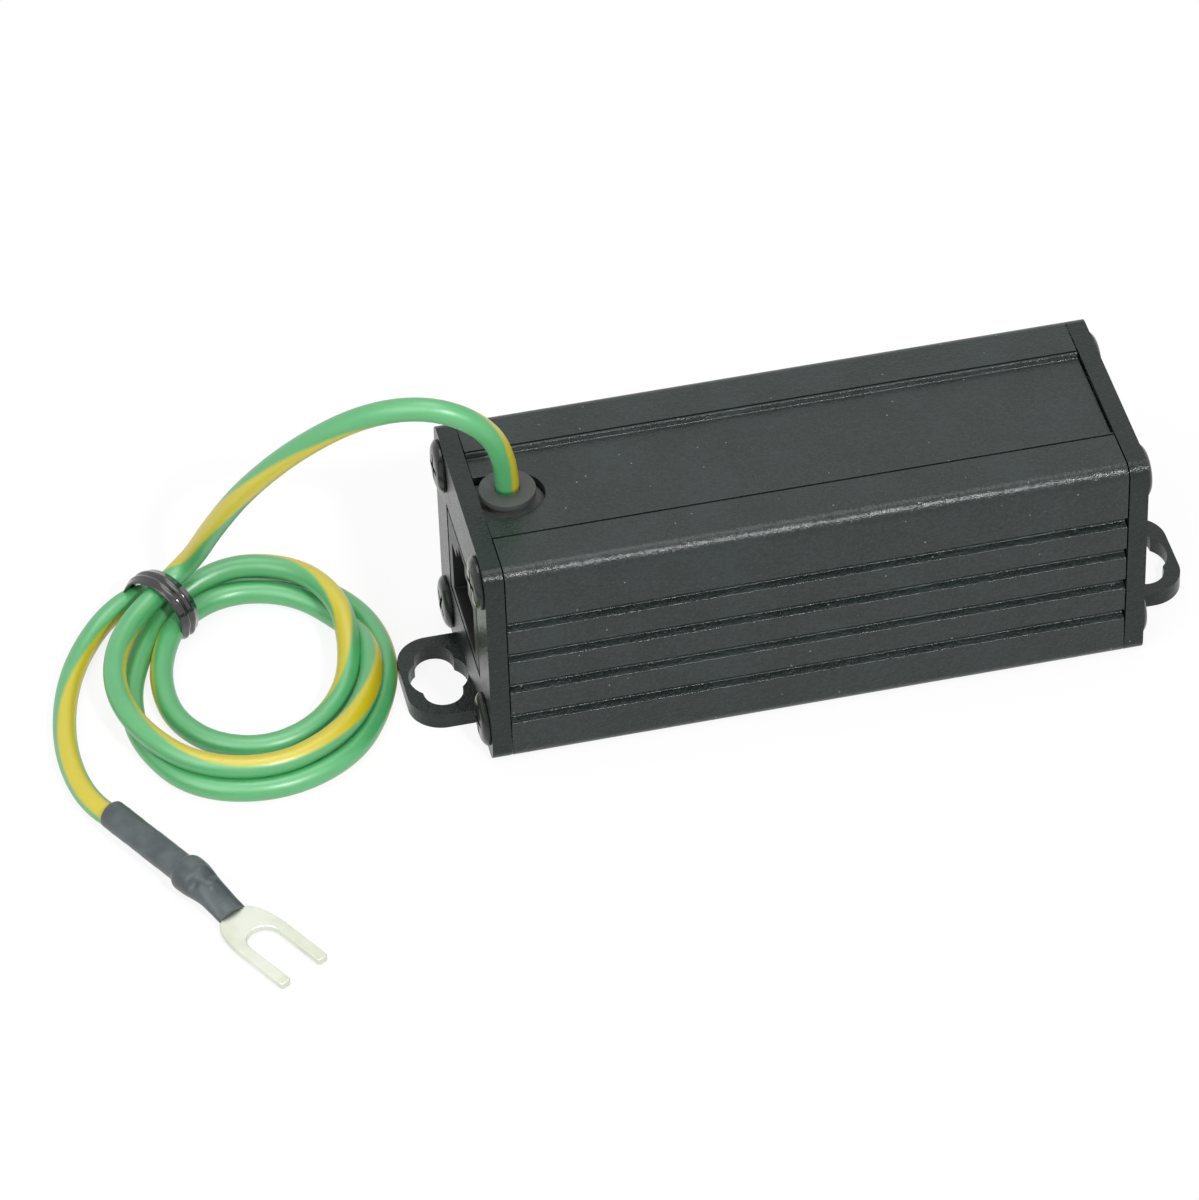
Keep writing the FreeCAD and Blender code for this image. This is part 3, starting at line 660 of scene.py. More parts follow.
def caseTubePiece():
    tube = caseTube
    gap = tube["endGap"]
    place = Matrix.Translation((gap - tubeEnd, 0, 0)) @ sectionPlace
    piece = solidFrom("caseTube", [tubeOuter(tube), tubeInner(tube)], tube["length"] - 2 * gap, place)
    past, deep = 2, tube["notchBelow"]
    outline = notchOutline(-tubeEnd - past, tube["notchHalf"])
    cutter = solidFrom("notchCutter", [outline], deep + past, Matrix.Translation((0, 0, tube["height"] - deep)))
    shaped(piece, "DIFFERENCE", [cutter])
    inner = tube["recessHalf"] + tube["lineInset"]
    outer = inner + tube["lineWidth"]

    def onLine(spot):
        near = 0.01
        return inner - near < abs(spot.y) < outer + near and spot.z > tube["height"] - tube["lineDepth"] - near

    softEdges(piece, tube["edge"], 3, leftSharp=onLine)
    return finished(piece, "caseGrey", "case_grey", "housing_extrusion")


endPlate = {
    "thickness": 2.2,
    "windowHalf": 8.25,
    "windowLow": 7.95,
    "windowHigh": 20.55,
    "holeRadius": 1.6,
    "footHalf": 6.75,
    "footThickness": 2.0,
    "footRoot": 0.4,  # how far it runs into the plate from the tube's side
    "footReach": 7.6,
    "footCorner": 4.0,
    "keyFromPlate": 3.4,
    "keyHead": 3.45,
    "keySlot": 2.3,
    "keyLength": 10.2,
    "edge": 0.28,
}


def keyOutline(plate, face):
    # a round middle for the screw's head, with a slot for its shank at each side
    slot, head = plate["keySlot"], plate["keyHead"]
    x, reach = face - plate["keyFromPlate"], plate["keyLength"] / 2 - slot
    meet = math.degrees(math.acos(slot / head))
    points = []
    for turn, y in ((0, reach), (180, -reach)):
        points += arc((x, 0), head, turn - meet, turn + meet, 10) + arc((x, y), slot, turn, turn + 180, 20)
    return points


def endPlatePiece(name, turn, nodeName):
    plate = endPlate
    face = -tubeEnd - plate["thickness"]
    rim = roundedOutline(caseTube["halfWidth"], 0, caseTube["height"], caseTube["cornerRadius"])
    low, high, wide = plate["windowLow"], plate["windowHigh"], plate["windowHalf"]
    window = [(-wide, low), (wide, low), (wide, high), (-wide, high)]
    holes = [ring(spot, plate["holeRadius"], 24) for spot in screwSpots()]
    place = turn @ Matrix.Translation((face, 0, 0)) @ sectionPlace
    body = solidFrom(name, [rim, window] + holes, plate["thickness"], place)
    half, r = plate["footHalf"], plate["footCorner"]
    out, root = face - plate["footReach"], -tubeEnd - plate["footRoot"]
    corners = arc((out + r, -half + r), r, 270, 180, 16) + arc((out + r, half - r), r, 180, 90, 16)
    foot = [(root, -half)] + corners + [(root, half)]
    flange = solidFrom(name + "Foot", [foot, keyOutline(plate, face)], plate["footThickness"], turn)
    shaped(body, "UNION", [flange])
    softEdges(body, plate["edge"], 3)
    # the plates and feet take the darker copy of the case's coat: painted shade
    return finished(body, "plateGrey", "case_grey", nodeName)


def screwSpots():
    y = caseTube["halfWidth"] - caseTube["portInset"]
    z = caseTube["portInset"]
    return [(side * y, height) for side in (-1, 1) for height in (z, caseTube["height"] - z)]


endScrew = {
    "shank": 1.45,
    "length": 8.0,
    "point": 0.8,
    "headRadius": 3.1,
    "headHeight": 0.95,
    "rim": 0.3,
    "underEdge": 0.08,
    "crossLength": 3.3,
    "crossWidth": 0.7,
    "crossDepth": 0.75,
    "crossFlare": (1.25, 0.55),  # its size above the head and at the bottom
    "sides": 56,
    "sharpFrom": 35,
}


def lathe(name, profile, steps):
    # profile of (radius, height) points from the axis round to the axis, turned about its own Z
    points = [(0, 0, profile[0][1])]
    rings = profile[1:-1]
    for radius, height in rings:
        points += [(x, y, height) for x, y in ring((0, 0), radius, steps)]
    points.append((0, 0, profile[-1][1]))
    faces = [(0, 1 + (i + 1) % steps, 1 + i) for i in range(steps)]
    for k in range(len(rings) - 1):
        faces += band(1 + k * steps, 1 + (k + 1) * steps, steps)
    last = 1 + (len(rings) - 1) * steps
    tip = len(points) - 1
    faces += [(last + i, last + (i + 1) % steps, tip) for i in range(steps)]
    return closedPiece(name, points, faces)


def crossCutter(s, top):
    # two wedges that narrow towards the bottom of the recess
    cutters = []
    for turned in (False, True):
        points = []
        for share, height in zip(s["crossFlare"], (top + 0.3, top - s["crossDepth"])):
            a, b = s["crossLength"] / 2 * share, s["crossWidth"] / 2 * min(1.0, share + 0.25)
            if turned:
                a, b = b, a
            points += [(-a, -b, height), (a, -b, height), (a, b, height), (-a, b, height)]
        faces = [(0, 1, 2, 3), (7, 6, 5, 4)] + band(0, 4, 4)
        cutters.append(closedPiece("cross", points, faces))
    return cutters


def screwGroup():
    # one screw repeated on given points, each turned as far as its thread stopped it
    nodes = Shape("screwsOnPlate", Screw="Object", Spread="Float", Seed="Int")
    given = nodes.given
    master = nodes.add("GeometryNodeObjectInfo", {"Object": given["Screw"]}, out="Geometry")
    stops = {"Min": (0.0, 0.0, 0.0), "Max": (0.0, 0.0, 1.0), "Seed": given["Seed"]}
    chance = nodes.add("FunctionNodeRandomValue", stops, {"data_type": "FLOAT_VECTOR"})
    turn = nodes.add("ShaderNodeVectorMath", {0: chance, "Scale": given["Spread"]}, {"operation": "SCALE"})
    sockets = {"Points": given["Geometry"], "Instance": master, "Rotation": turn}
    return nodes.done(nodes.add("GeometryNodeInstanceOnPoints", sockets))


def screwMaster():
    s = endScrew
    r, h, rim, under = s["headRadius"], s["headHeight"], s["rim"], s["underEdge"]
    shank, end, point = s["shank"], -s["length"], s["point"]
    # the crown is flat in the middle
    crown = [(r * q, rim + (h - rim) * (1 - q**6)) for q in (1, 0.97, 0.93, 0.88, 0.8, 0.7, 0.55)]
    profile = [(0, end), (shank - point / 2, end), (shank, end + point), (shank, 0)]
    profile += [(r - under, 0), (r, under)] + crown + [(0, h)]
    master = lathe("screwMaster", profile, s["sides"])
    shaped(master, "DIFFERENCE", crossCutter(s, h))
    return softEdges(cleaned(master), 0, angle=s["sharpFrom"])


def endScrewPieces():
    master = screwMaster()
    group = screwGroup()
    face = tubeEnd + endPlate["thickness"]
    outward = Matrix(((0, 0, -1, 0), (0, 1, 0, 0), (1, 0, 0, 0), (0, 0, 0, 1)))  # the screw's own Z points along -X
    spots = [(z, y, 0) for y, z in screwSpots()]
    look = {"Screw": master, "Spread": math.pi / 2, "Finish": materials["screwDark"]}
    ends = (
        ("cableEndScrews", Matrix.Identity(4), "cable_end_screws", 4),
        ("equipmentEndScrews", halfTurn, "equipment_end_screws", 9),
    )
    for name, turn, nodeName, seed in ends:
        piece = newPiece(name, meshOf(name, spots, []))
        modifier = piece.modifiers.new("repeat", "NODES")
        modifier.node_group = group
        setInputs(modifier, {**look, "Seed": seed})
        settle(piece)
        piece.data.transform(turn @ Matrix.Translation((-face * mm, 0, 0)) @ outward)
        finished(piece, "screwDark", "screw_dark", nodeName)
    bpy.data.objects.remove(master)


socketEdge = 0.12


def softenedNode(nodeName, name):
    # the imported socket's own shape, merged, with a small radius on each edge
    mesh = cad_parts[nodeName].data.copy()
    with MeshEdit(mesh) as bm:
        bmesh.ops.remove_doubles(bm, verts=bm.verts, dist=0.001 * mm)
        bmesh.ops.dissolve_limit(bm, angle_limit=math.radians(1), verts=bm.verts, edges=bm.edges)
    piece = newPiece(name, mesh)
    softEdges(piece, socketEdge, 2, 40)
    return finished(piece, "socketBlack", "socket_black", nodeName)


grommet = {
    "x": -32.55,
    "discRadius": 3.22,
    "discTop": 28.4,
    "discLow": 27.65,
    "stemRadius": 2.6,
    "edge": 0.16,
    "bore": 1.4,
    "neckTop": 26.35,
    "neckLow": 26.15,
    "neckHalf": 3.65,
    "overlap": 0.2,  # how far one part of it runs into the next
    "fromTube": 0.1,
    "flangeLow": 25.0,
    "flangeHalf": 4.85,
}


def grommetPiece():
    g, into = grommet, grommet["overlap"]

    def bored(name, outline, low, high):
        hole = ring((g["x"], 0), g["bore"], 36)
        return solidFrom(name, [outline, hole], high - low, Matrix.Translation((0, 0, low)))

    def slotted(name, half, low, high):
        return bored(name, notchOutline(g["fromTube"] - tubeEnd, half), low, high)

    def turned(name, radius, low, high):
        return bored(name, ring((g["x"], 0), radius, 60), low, high)

    body = slotted("cableGrommet", g["neckHalf"], g["neckLow"] - into, g["neckTop"])
    flange = slotted("flange", g["flangeHalf"], g["flangeLow"], g["neckLow"])
    disc = turned("disc", g["discRadius"], g["discLow"], g["discTop"])
    stem = turned("stem", g["stemRadius"], g["neckLow"], g["discLow"] + into)
    shaped(body, "UNION", [flange, stem, disc])
    softEdges(body, g["edge"], 3, 40)
    return finished(body, "grommetRubber", "grommet_rubber", "cable_grommet")


caseTubePiece()
endPlatePiece("cableEndPlate", Matrix.Identity(4), "cable_end_plate")
endPlatePiece("equipmentEndPlate", halfTurn, "equipment_end_plate")
endScrewPieces()
softenedNode("cable_jack_housing", "cableJackHousing")
softenedNode("equipment_jack_housing", "equipmentJackHousing")
grommetPiece()
print("case, plates, screws, sockets and grommet made")

earthWire = {
    "diameter": 2.7,
    "length": 399.8,
    "sides": 28,
    "samples": 12,  # rings for each of the route's points
    "stripeEven": 8,  # rings each side that even out the stripe's turns
    "lead": [
        (-32.55, 0.0, 28.4), (-32.55, 0.0, 33.2), (-35.3, 0.2, 38.3), (-41.0, 1.3, 41.0), (-47.6, 4.5, 38.6),
        (-54.4, 8.9, 31.8), (-60.3, 13.3, 23.2), (-64.1, 17.2, 14.6), (-65.9, 19.8, 9.0), (-67.6, 20.4, 6.6),
    ],
    "coilCentre": (-62.6, 5.6),
    "coilStart": 120.0,  # degrees, where the tie is; 12 points a turn, anticlockwise from above
    "coilReach": [
        [15.4, 15.7, 15.9, 16.5, 17.8, 17.8, 16.4, 14.9, 14.3, 14.2, 14.9, 14.9],
        [13.2, 10.9, 10.2, 10.8, 11.7, 12.3, 12.0, 11.8, 11.9, 13.9, 16.6, 17.0],
        [15.9, 13.6, 14.1, 16.2, 19.2, 19.4, 18.2, 16.2, 16.2, 16.9, 17.6, 17.9],
    ],
    "coilHeight": [
        [5.3, 4.3, 4.0, 4.05, 3.6, 3.4, 3.6, 3.7, 3.0, 1.35, 1.8, 1.8],
        [1.85, 1.5, 1.35, 1.35, 1.35, 1.5, 1.8, 2.7, 3.8, 4.9, 4.4, 4.2],
        [1.85, 1.35, 1.35, 1.35, 1.35, 1.35, 1.35, 1.35, 1.35, 1.35, 1.35, 1.5],
    ],
    "tail": [
        (-72.9, 21.4, 2.7), (-75.8, 19.8, 2.7), (-79.1, 17.0, 1.8), (-82.4, 11.6, 1.35), (-84.5, 4.6, 1.35),
        (-85.2, -2.8, 1.35), (-84.1, -9.9, 1.45), (-81.2, -14.9, 1.8), (-76.15, -23.67, 2.3),
    ],
    # where the stripe faces: the route's point, then the picture's right, up and towards-the-viewer shares
    "stripe": [
        (0, 0.85, 0.1, 0.5), (1, 0.85, 0.1, 0.4), (2, 0.8, 0.2, -0.5), (3, 0.2, -0.3, -1),
        (4, 0.1, -0.85, -0.5), (5, 0.2, -0.9, 0.35), (6, 0.05, -0.3, 0.95), (7, -0.5, 0.25, 0.8),
        (8, -0.8, 0.35, 0.5), (9, -0.95, 0.2, 0.1), (10, -0.3, 0.2, -0.9), (11, 0.95, -0.2, -0.3),
        (13, 0.85, 0.1, 0.1), (14, 0.3, 0.75, 0.5), (16, 0.1, 0.7, 0.7), (17, 0.6, 0.1, 0.75),
        (18, 1, -0.05, 0.1), (19, 0.8, 0.2, -0.6), (21, 0, 0.2, -1), (22, -0.6, 0.2, -0.7),
        (23, -1, 0.1, 0), (24, -1, 0, 0), (26, -0.2, -0.4, -0.9), (28, -0.5, 0.6, -0.6),
        (29, -0.95, 0.3, 0.15), (30, -0.5, 0, 0.85), (31, 0.2, 0.75, 0.65), (32, 0.1, 0.95, -0.2),
        (33, 0, 0.6, -0.8), (35, -0.7, 0.4, -0.7), (38, -0.2, -0.2, -1), (40, 0.3, -0.4, -0.9),
        (42, 1, -0.1, 0.1), (44, 0.2, 0.2, -1), (46, 0.5, -0.7, -0.3), (48, 0.6, -0.6, 0.4),
        (49, 0.5, -0.4, 0.7), (50, 0.2, -0.2, 1), (54, 0, 0, 1),
    ],
}


def wireRoute(wire):
    points = list(wire["lead"])
    for reaches, heights in zip(wire["coilReach"], wire["coilHeight"]):
        for i, (reach, height) in enumerate(zip(reaches, heights)):
            angle = math.radians(wire["coilStart"] + i * 360 / len(reaches))
            x, y = wire["coilCentre"]
            points.append((x + reach * math.cos(angle), y + reach * math.sin(angle), height))
    return points + wire["tail"]


def splineLine(points, samples):
    # the smooth line that one NURBS spline makes of the route's points
    curve = bpy.data.curves.new("wireRoute", "CURVE")
    curve.dimensions = "3D"
    curve.resolution_u = samples
    spline = curve.splines.new("NURBS")
    spline.points.add(len(points) - 1)
    for spot, point in zip(spline.points, points):
        spot.co = (*(Vector(point) * mm), 1)
    spline.order_u = 3
    spline.use_endpoint_u = True
    holder = newPiece("wireRoute", curve)
    mesh = bpy.data.meshes.new_from_object(holder)
    line = [vertex.co.copy() for vertex in mesh.vertices]
    bpy.data.objects.remove(holder)
    return line


def ringFrames(line):
    # normal and binormal of each ring, carried along without twist
    frames = []
    for before, after in zip(line[:1] + line, line[1:] + line[-1:]):
        tangent = (after - before).normalized()
        normal = (normal - tangent * normal.dot(tangent) if frames else tangent.orthogonal()).normalized()
        frames.append((normal, tangent.cross(normal)))
    return frames


def stripeTurns(wire, line, frames, count):
    # each ring's turn that brings the stripe to where its keyed directions face
    last = len(line) - 1
    keys = []
    for point, *shares in wire["stripe"]:
        place = round(max(0.0, min(1.0, (point - 0.5) / (count - 2))) * last)
        facing = pictureWay(shares)
        normal, binormal = frames[place]
        angle = math.atan2(facing.dot(binormal), facing.dot(normal))
        if keys:
            angle -= 2 * math.pi * round((angle - keys[-1][1]) / (2 * math.pi))
        keys.append((place, angle))
    turns = []
    for i in range(len(line)):
        before = max((k for k in keys if k[0] <= i), default=keys[0])
        after = min((k for k in keys if k[0] > i), default=keys[-1])
        share = (i - before[0]) / (after[0] - before[0]) if after[0] > before[0] else 0.0
        turns.append(before[1] + (after[1] - before[1]) * share)
    even = wire["stripeEven"]
    near = [turns[max(0, i - even):i + even + 1] for i in range(len(turns))]
    return [sum(some) / len(some) for some in near]


def earthWirePiece(line):
    wire = earthWire
    sides = wire["sides"]
    radius = wire["diameter"] / 2 * mm
    frames = ringFrames(line)
    turns = stripeTurns(wire, line, frames, len(wireRoute(wire)))
    points = []
    for spot, (normal, binormal), turn in zip(line, frames, turns):
        for j in range(sides):
            angle = turn + 2 * math.pi * (j / sides - 0.5)
            points.append(spot + (normal * math.cos(angle) + binormal * math.sin(angle)) * radius)
    faces = [face for i in range(len(line) - 1) for face in band(i * sides, (i + 1) * sides, sides)]
    faces += [tuple(reversed(range(sides))), tuple(range(len(points) - sides, len(points)))]
    mesh = bpy.data.meshes.new("earthWire")
    mesh.from_pydata(points, [], faces)
    along = [0.0]
    for before, after in zip(line, line[1:]):
        along.append(along[-1] + (after - before).length)
    flat = mesh.uv_layers.new(name="wireMap")
    for polygon in mesh.polygons:
        corners = [mesh.loops[k].vertex_index for k in polygon.loop_indices]
        around = [corner % sides for corner in corners]
        polygon.use_smooth = len(corners) == 4
        crosses = polygon.use_smooth and 0 in around and sides - 1 in around
        for k, corner, j in zip(polygon.loop_indices, corners, around):
            flat.data[k].uv = (along[corner // sides] / mm, (sides if crosses and j == 0 else j) / sides)
    print("earth wire", round(along[-1] / mm, 1), "mm in", len(line), "rings")
    return newPiece("earthWire", mesh)


tie = {
    "spot": (-71.5, 19.6),
    "turn": 36.87,  # degrees, the bundle's direction seen from above
    "turns": 2.0,
    "pitch": 1.9,
    "gap": 0.04,
    "reach": 9,  # how far from its middle it looks for strands
    # half of the ribbon's section from its edge to its wired rib: across it and out from the wires
    "section": [(0.95, 0.0), (0.97, 0.14), (0.88, 0.26), (0.42, 0.3), (0.24, 0.5), (0.0, 0.58)],
    "bulge": (-1.5, 3.3, 4.2, 3.7),  # an oval that it clears too: middle across and up, half-width, half-height
    "samples": 110,
    "floor": 0.02,
}


def hullOf(points):
    # the convex outline round the points, anticlockwise
    def turnsLeft(a, b, c):
        return (b[0] - a[0]) * (c[1] - a[1]) > (b[1] - a[1]) * (c[0] - a[0])

    def half(run):
        chain = []
        for point in run:
            while len(chain) > 1 and not turnsLeft(*chain[-2:], point):
                chain.pop()
            chain.append(point)
        return chain[:-1]

    points = sorted(set(points))
    return half(points) + half(reversed(points))


def evenLoop(points, count):
    # the closed outline's points again, at equal steps
    closed = [Vector(p) for p in points] + [Vector(points[0])]
    lengths = [(b - a).length for a, b in zip(closed, closed[1:])]
    whole = sum(lengths)
    loop = []
    k, passed = 0, 0.0
    for i in range(count):
        want = whole * i / count
        while passed + lengths[k] < want:
            passed += lengths[k]
            k += 1
        loop.append(closed[k].lerp(closed[k + 1], (want - passed) / lengths[k]))
    return loop


def tieLoop(line, spot, along, across):
    # the ribbon's path in the plane across the bundle, round the strands that pass under it
    strands = []
    for before, after in zip(line, line[1:]):
        a, b = before / mm - spot, after / mm - spot
        if a.dot(along) * b.dot(along) <= 0 and abs(a.dot(across)) < tie["reach"]:
            strands.append((a.dot(across), a.z))
    print("strands under the tie:", [(round(x, 1), round(z, 1)) for x, z in strands])
    clear = earthWire["diameter"] / 2 + tie["gap"]
    ovals = [(x, z, clear, clear) for x, z in strands] + [tie["bulge"]]
    turns = [2 * math.pi * k / 60 for k in range(60)]
    rim = [(x + wide * math.cos(t), z + tall * math.sin(t)) for x, z, wide, tall in ovals for t in turns]
    loop = evenLoop(hullOf(rim), tie["samples"])
    low = min(range(len(loop)), key=lambda k: loop[k].y)
    return loop[low:] + loop[:low]


def tiePiece(line):
    # a wire-cored ribbon wound round the bundle
    turn = math.radians(tie["turn"])
    along = Vector((math.cos(turn), math.sin(turn), 0))
    across = Vector((-math.sin(turn), math.cos(turn), 0))
    spot = Vector((*tie["spot"], 0))
    loop = tieLoop(line, spot, along, across)
    count = len(loop)
    section = [(-side, rise) for side, rise in tie["section"]] + tie["section"][-2::-1]
    width = len(section)
    steps = round(count * tie["turns"])
    points = []
    for i in range(steps + 1):
        heading = (loop[(i + 1) % count] - loop[(i - 1) % count]).normalized()
        outward = Vector((heading.y, -heading.x))
        shift = (i / steps - 0.5) * tie["pitch"] * (tie["turns"] - 1) * 2 / tie["turns"]
        for side, rise in section:
            flat = loop[i % count] + outward * rise
            point = spot + across * flat.x + along * (shift + side)
            points.append((point.x, point.y, max(tie["floor"], flat.y)))
    faces = [face for i in range(steps) for face in band(i * width, (i + 1) * width, width)]
    faces += [tuple(range(width)), tuple(reversed(range(steps * width, steps * width + width)))]
    piece = closedPiece("wireTie", points, faces)
    for polygon in piece.data.polygons:
        polygon.use_smooth = len(polygon.vertices) == 4
    return finished(piece, "tieBlack", "tie_black", "wire_tie")


# the terminal's line starts at the sleeve's end
forkPlace = Matrix.Translation((-71.4, -31.9, 0)) @ Matrix.Rotation(math.radians(-60), 4, "Z")

sleeve = {
    "wall": 0.3,
    "sides": 40,
    "edge": 0.06,
    "wrinkle": 0.018,
    # along the line, half-width across, half-height and height of the middle
    "stations": [
        (-20.9, 1.68, 1.68, 2.3), (-20.6, 1.72, 1.72, 2.3), (-17.0, 1.7, 1.7, 2.3), (-13.0, 1.72, 1.7, 2.3),
        (-9.6, 1.72, 1.7, 2.3), (-8.7, 1.75, 1.73, 2.3), (-8.3, 1.9, 1.88, 2.3), (-8.0, 2.12, 2.08, 2.3),
        (-7.4, 2.22, 2.16, 2.3), (-6.2, 2.16, 2.1, 2.28), (-5.2, 2.02, 1.95, 2.22), (-4.2, 1.84, 1.75, 2.1),
        (-3.2, 1.78, 1.5, 1.9), (-2.2, 1.76, 1.25, 1.62), (-1.0, 1.78, 1.02, 1.28), (0.0, 1.78, 0.9, 1.05),
    ],
    "rings": 150,
    # along the line, degrees from its top (minus is the near side), depth, and size along and round
    "dents": [
        (-5.0, -50, 0.5, 0.55, 24), (-5.6, 12, -0.2, 0.4, 24), (-4.5, 20, 0.26, 0.35, 30), (-3.4, 8, -0.16, 0.4, 24),
    ],
}


def smoothBetween(stations, u):
    # the stations' values at a place between them, eased with a cubic through the neighbours
    last = len(stations) - 2
    k = max(i for i in range(last + 1) if stations[i][0] <= u or i == 0)
    before, here, after, beyond = [stations[max(0, min(last + 1, k + d))] for d in (-1, 0, 1, 2)]
    span = after[0] - here[0]
    t = (u - here[0]) / span
    ease = (3 - 2 * t) * t**2
    values = []
    for a, b, c, d in zip(before[1:], here[1:], after[1:], beyond[1:]):
        leave = (c - a) / (after[0] - before[0]) * span
        arrive = (d - b) / (beyond[0] - here[0]) * span
        values.append(b + (c - b) * ease + leave * t * (1 - t) ** 2 - arrive * t**2 * (1 - t))
    return values


def dentAt(u, angle):
    # how far the skin is pressed in at a place along the line and round it
    dent = 0.0
    for along, fromTop, depth, alongSize, roundSize in sleeve["dents"]:
        apart = (math.degrees(angle) - 90 + fromTop + 180) % 360 - 180
        dent += depth * math.exp(-((u - along) / alongSize) ** 2 - (apart / roundSize) ** 2)
    return dent


def duct(name, start, end, rings, sides, skins):
    # a closed tube along the terminal's line between two skins, each giving half-width, half-height and middle height
    points = []
    for skin in skins:
        for i in range(rings + 1):
            u = start + (end - start) * i / rings
            for j in range(sides):
                angle = 2 * math.pi * j / sides
                w, h, z = skin(u, angle)
                points.append((u, w * math.cos(angle), z + h * math.sin(angle)))
    layer = (rings + 1) * sides
    starts = [first + i * sides for first in (0, layer) for i in range(rings)]
    faces = [face for first in starts for face in band(first, first + sides, sides)]
    faces += band(0, layer, sides) + band(rings * sides, layer + rings * sides, sides)
    return closedPiece(name, points, faces, forkPlace)


def sleeveSkinAt(u, angle, depth=0.0):
    w, h, z = smoothBetween(sleeve["stations"], u)
    wrinkle = sleeve["wrinkle"] * math.sin(u * 2.3 + 2 * angle) * math.sin(u * 1.1 + 1.3)
    give = depth + dentAt(u, angle) + wrinkle
    return w - give, h - give, z


def sleevePiece():
    start, end = sleeve["stations"][0][0], sleeve["stations"][-1][0]
    skins = (sleeveSkinAt, lambda u, angle: sleeveSkinAt(u, angle, sleeve["wall"]))
    piece = duct("heatShrinkSleeve", start, end, sleeve["rings"], sleeve["sides"], skins)
    softEdges(piece, sleeve["edge"], 2, 60)
    return finished(piece, "sleeveGrey", "sleeve_grey", "heat_shrink_sleeve")


fork = {
    "thickness": 0.8,
    "low": 0.5,
    "length": 12.2,
    "half": 3.35,
    "slot": 2.0,
    "slotFrom": 5.4,
    "neckHalf": 1.67,
    "root": 0.4,
    "rootInside": 0.2,  # how far the tongue runs into the barrel
    "tipCut": 0.2,
    "barrel": 1.8,
    "barrelGap": 0.05,
    "barrelBore": 1.0,
    "barrelFrom": -7.9,
    "barrelTo": -4.5,
    "rings": 40,
    "sides": 36,
    "edge": 0.1,
    "sharpFrom": 35,
}


def forkPiece():
    f = fork
    w, s, end, cut = f["half"], f["slot"], f["length"], f["tipCut"]
    neck, side = f["neckHalf"], f["slotFrom"]
    # the shoulder is a quarter of an oval from the neck out to the prong
    quarter = [math.radians(90 * k / 14) for k in range(15)]
    swell = [(side * (1 - math.cos(t)), neck + (w - neck) * math.sin(t)) for t in quarter]
    upper = [(f["barrelTo"] - f["rootInside"], f["root"])] + swell
    upper += [(end - cut, w), (end, w - cut), (end, s + cut), (end - cut, s)]
    slot = arc((side, 0), s, 90, 270, 24)
    outline = upper + slot + [(x, -y) for x, y in reversed(upper)]
    place = forkPlace @ Matrix.Translation((0, 0, f["low"]))
    tongue = solidFrom("forkTerminal", [outline], f["thickness"], place, "tinnedMetal")

    def crimped(u, angle):
        # the barrel keeps just inside the sleeve, with the sleeve's own dents
        w, h, z = sleeveSkinAt(u, angle, sleeve["wall"] + f["barrelGap"])
        return min(f["barrel"], w), min(f["barrel"], h), z

    def bore(u, angle):
        return f["barrelBore"], f["barrelBore"], smoothBetween(sleeve["stations"], u)[2]

    barrel = duct("forkBarrel", f["barrelFrom"], f["barrelTo"], f["rings"], f["sides"], (crimped, bore))
    softEdges(tongue, f["edge"], 3, 40)
    shaped(tongue, "UNION", [barrel])
    softEdges(tongue, 0, angle=f["sharpFrom"])
    return finished(tongue, "tinnedMetal", "tinned_metal", "fork_terminal")


wireLine = splineLine(wireRoute(earthWire), earthWire["samples"])
wirePiece = earthWirePiece(wireLine)
finished(wirePiece, "wireGreen", "wire_green", "earth_wire_lead", "earth_wire_coil", "earth_wire_tail")
tieObject = tiePiece(wireLine)
sleeveObject = sleevePiece()
forkObject = forkPiece()
print("earth wire, tie, sleeve and terminal made")

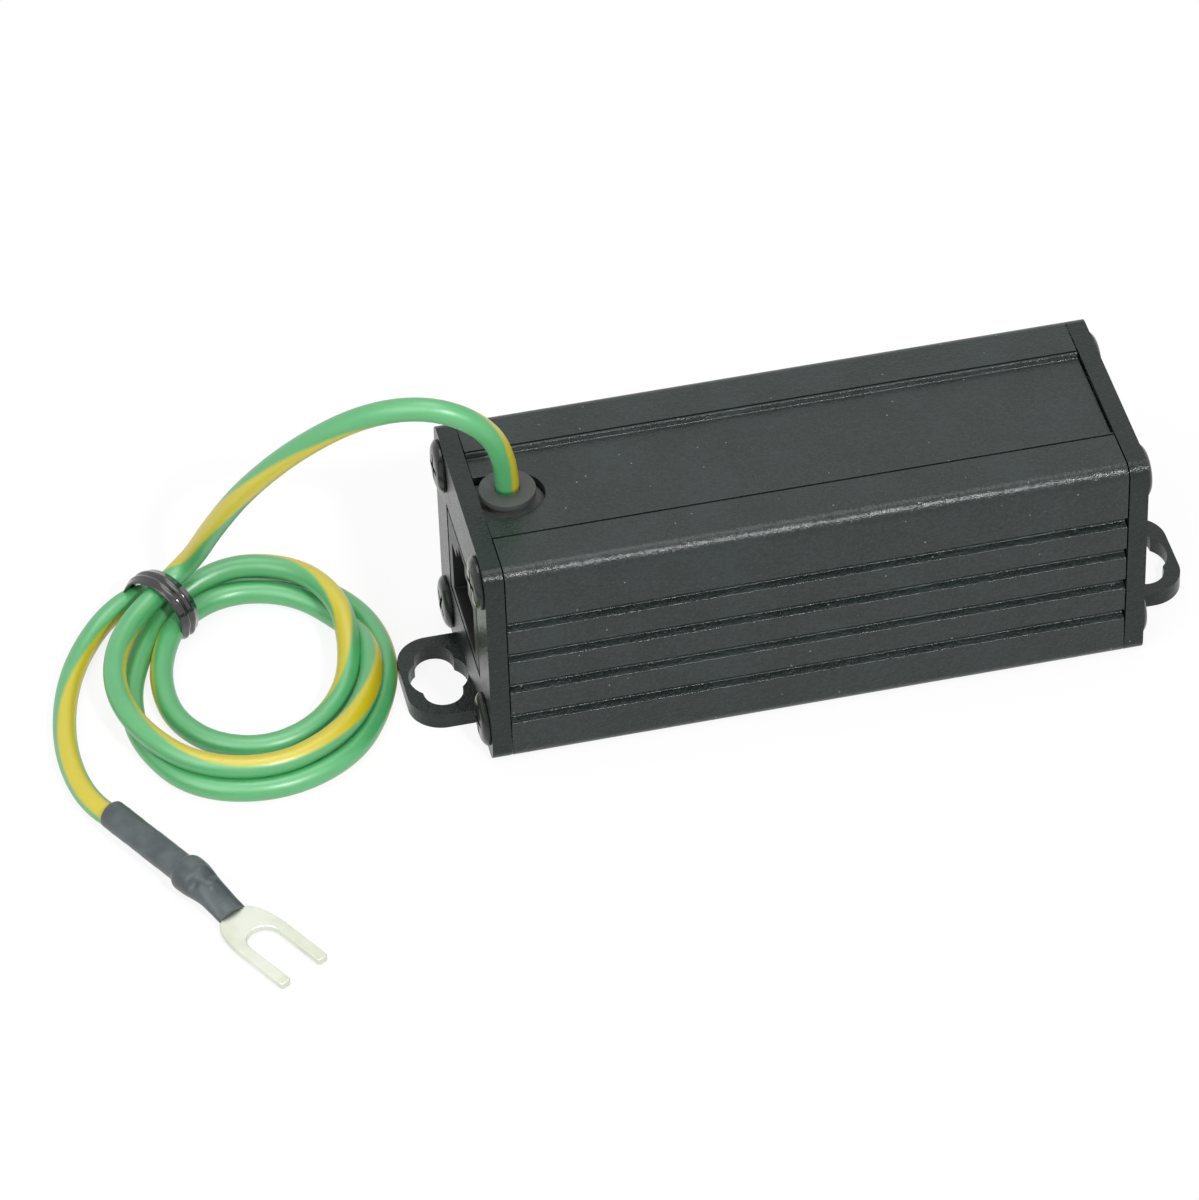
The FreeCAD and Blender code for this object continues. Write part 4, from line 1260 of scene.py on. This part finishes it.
studio = {
    "ambient": 0.34,
    "middle": (-20, 0, 10),  # what the lamps aim at
    "floorWhite": 0.86,  # share of the floor that shows as plain white
    "floorReach": 1600,
    "floorHeight": -0.02,
    "lamps": [  # name, picture's right, up and towards shares, distance, size, power
        ("keyRight", (0.35, 0.1, 1.0), 0.9, 0.08, 4.4),
        ("fillLeft", (-0.6, 0.15, 1.0), 0.9, 0.8, 3.8),
        ("overhead", (0.0, 1.1, 0.7), 1.0, 0.6, 2.8),
    ],
}


def makeStudio():
    middle = Vector(studio["middle"]) * mm
    for name, shares, distance, size, power in studio["lamps"]:
        data = bpy.data.lights.new(name, "AREA")
        data.shape = "DISK"
        data.size = size
        data.energy = power
        lamp = newPiece(name, data)
        way = pictureWay(shares).normalized()
        aim = way.to_track_quat("Z", "Y").to_matrix().to_4x4()
        lamp.matrix_world = Matrix.Translation(middle + way * distance) @ aim
    world = bpy.data.worlds.new("studio")
    nodes = Nodes(emptied(world))
    seen = seenWhite(nodes)
    strength = studio["ambient"] + seen * (1 - studio["ambient"])
    sky = nodes.add("ShaderNodeBackground", {"Color": (1, 1, 1, 1), "Strength": strength})
    nodes.add("ShaderNodeOutputWorld", {"Surface": sky})
    scene.world = world


def seenWhite(nodes):
    # 1 where the camera, a reflection or a clear part looks straight at it
    rays = [nodes.add("ShaderNodeLightPath", out=f"Is {kind} Ray") for kind in ("Camera", "Glossy", "Transmission")]
    return rays[0].most(rays[1]).most(rays[2])


def makeFloor():
    reach, low = studio["floorReach"], studio["floorHeight"]
    corners = [(x * reach, y * reach, low) for x, y in ((-1, -1), (1, -1), (1, 1), (-1, 1))]
    floor = newPiece("floor", meshOf("floor", corners, [(0, 1, 2, 3)]))
    material = bpy.data.materials.new("paleFloor")
    nodes = Nodes(emptied(material))
    plain = nodes.add("ShaderNodeBsdfDiffuse", {"Color": (0.95, 0.95, 0.95, 1)})
    white = nodes.add("ShaderNodeEmission", {"Color": (1, 1, 1, 1), "Strength": 1.0})
    mix = nodes.add("ShaderNodeMixShader", {0: seenWhite(nodes) * studio["floorWhite"], 1: plain, 2: white})
    nodes.add("ShaderNodeOutputMaterial", {"Surface": mix})
    floor.data.materials.append(material)


makeStudio()
makeFloor()
scene.view_settings.view_transform = "Standard"
print("studio made")
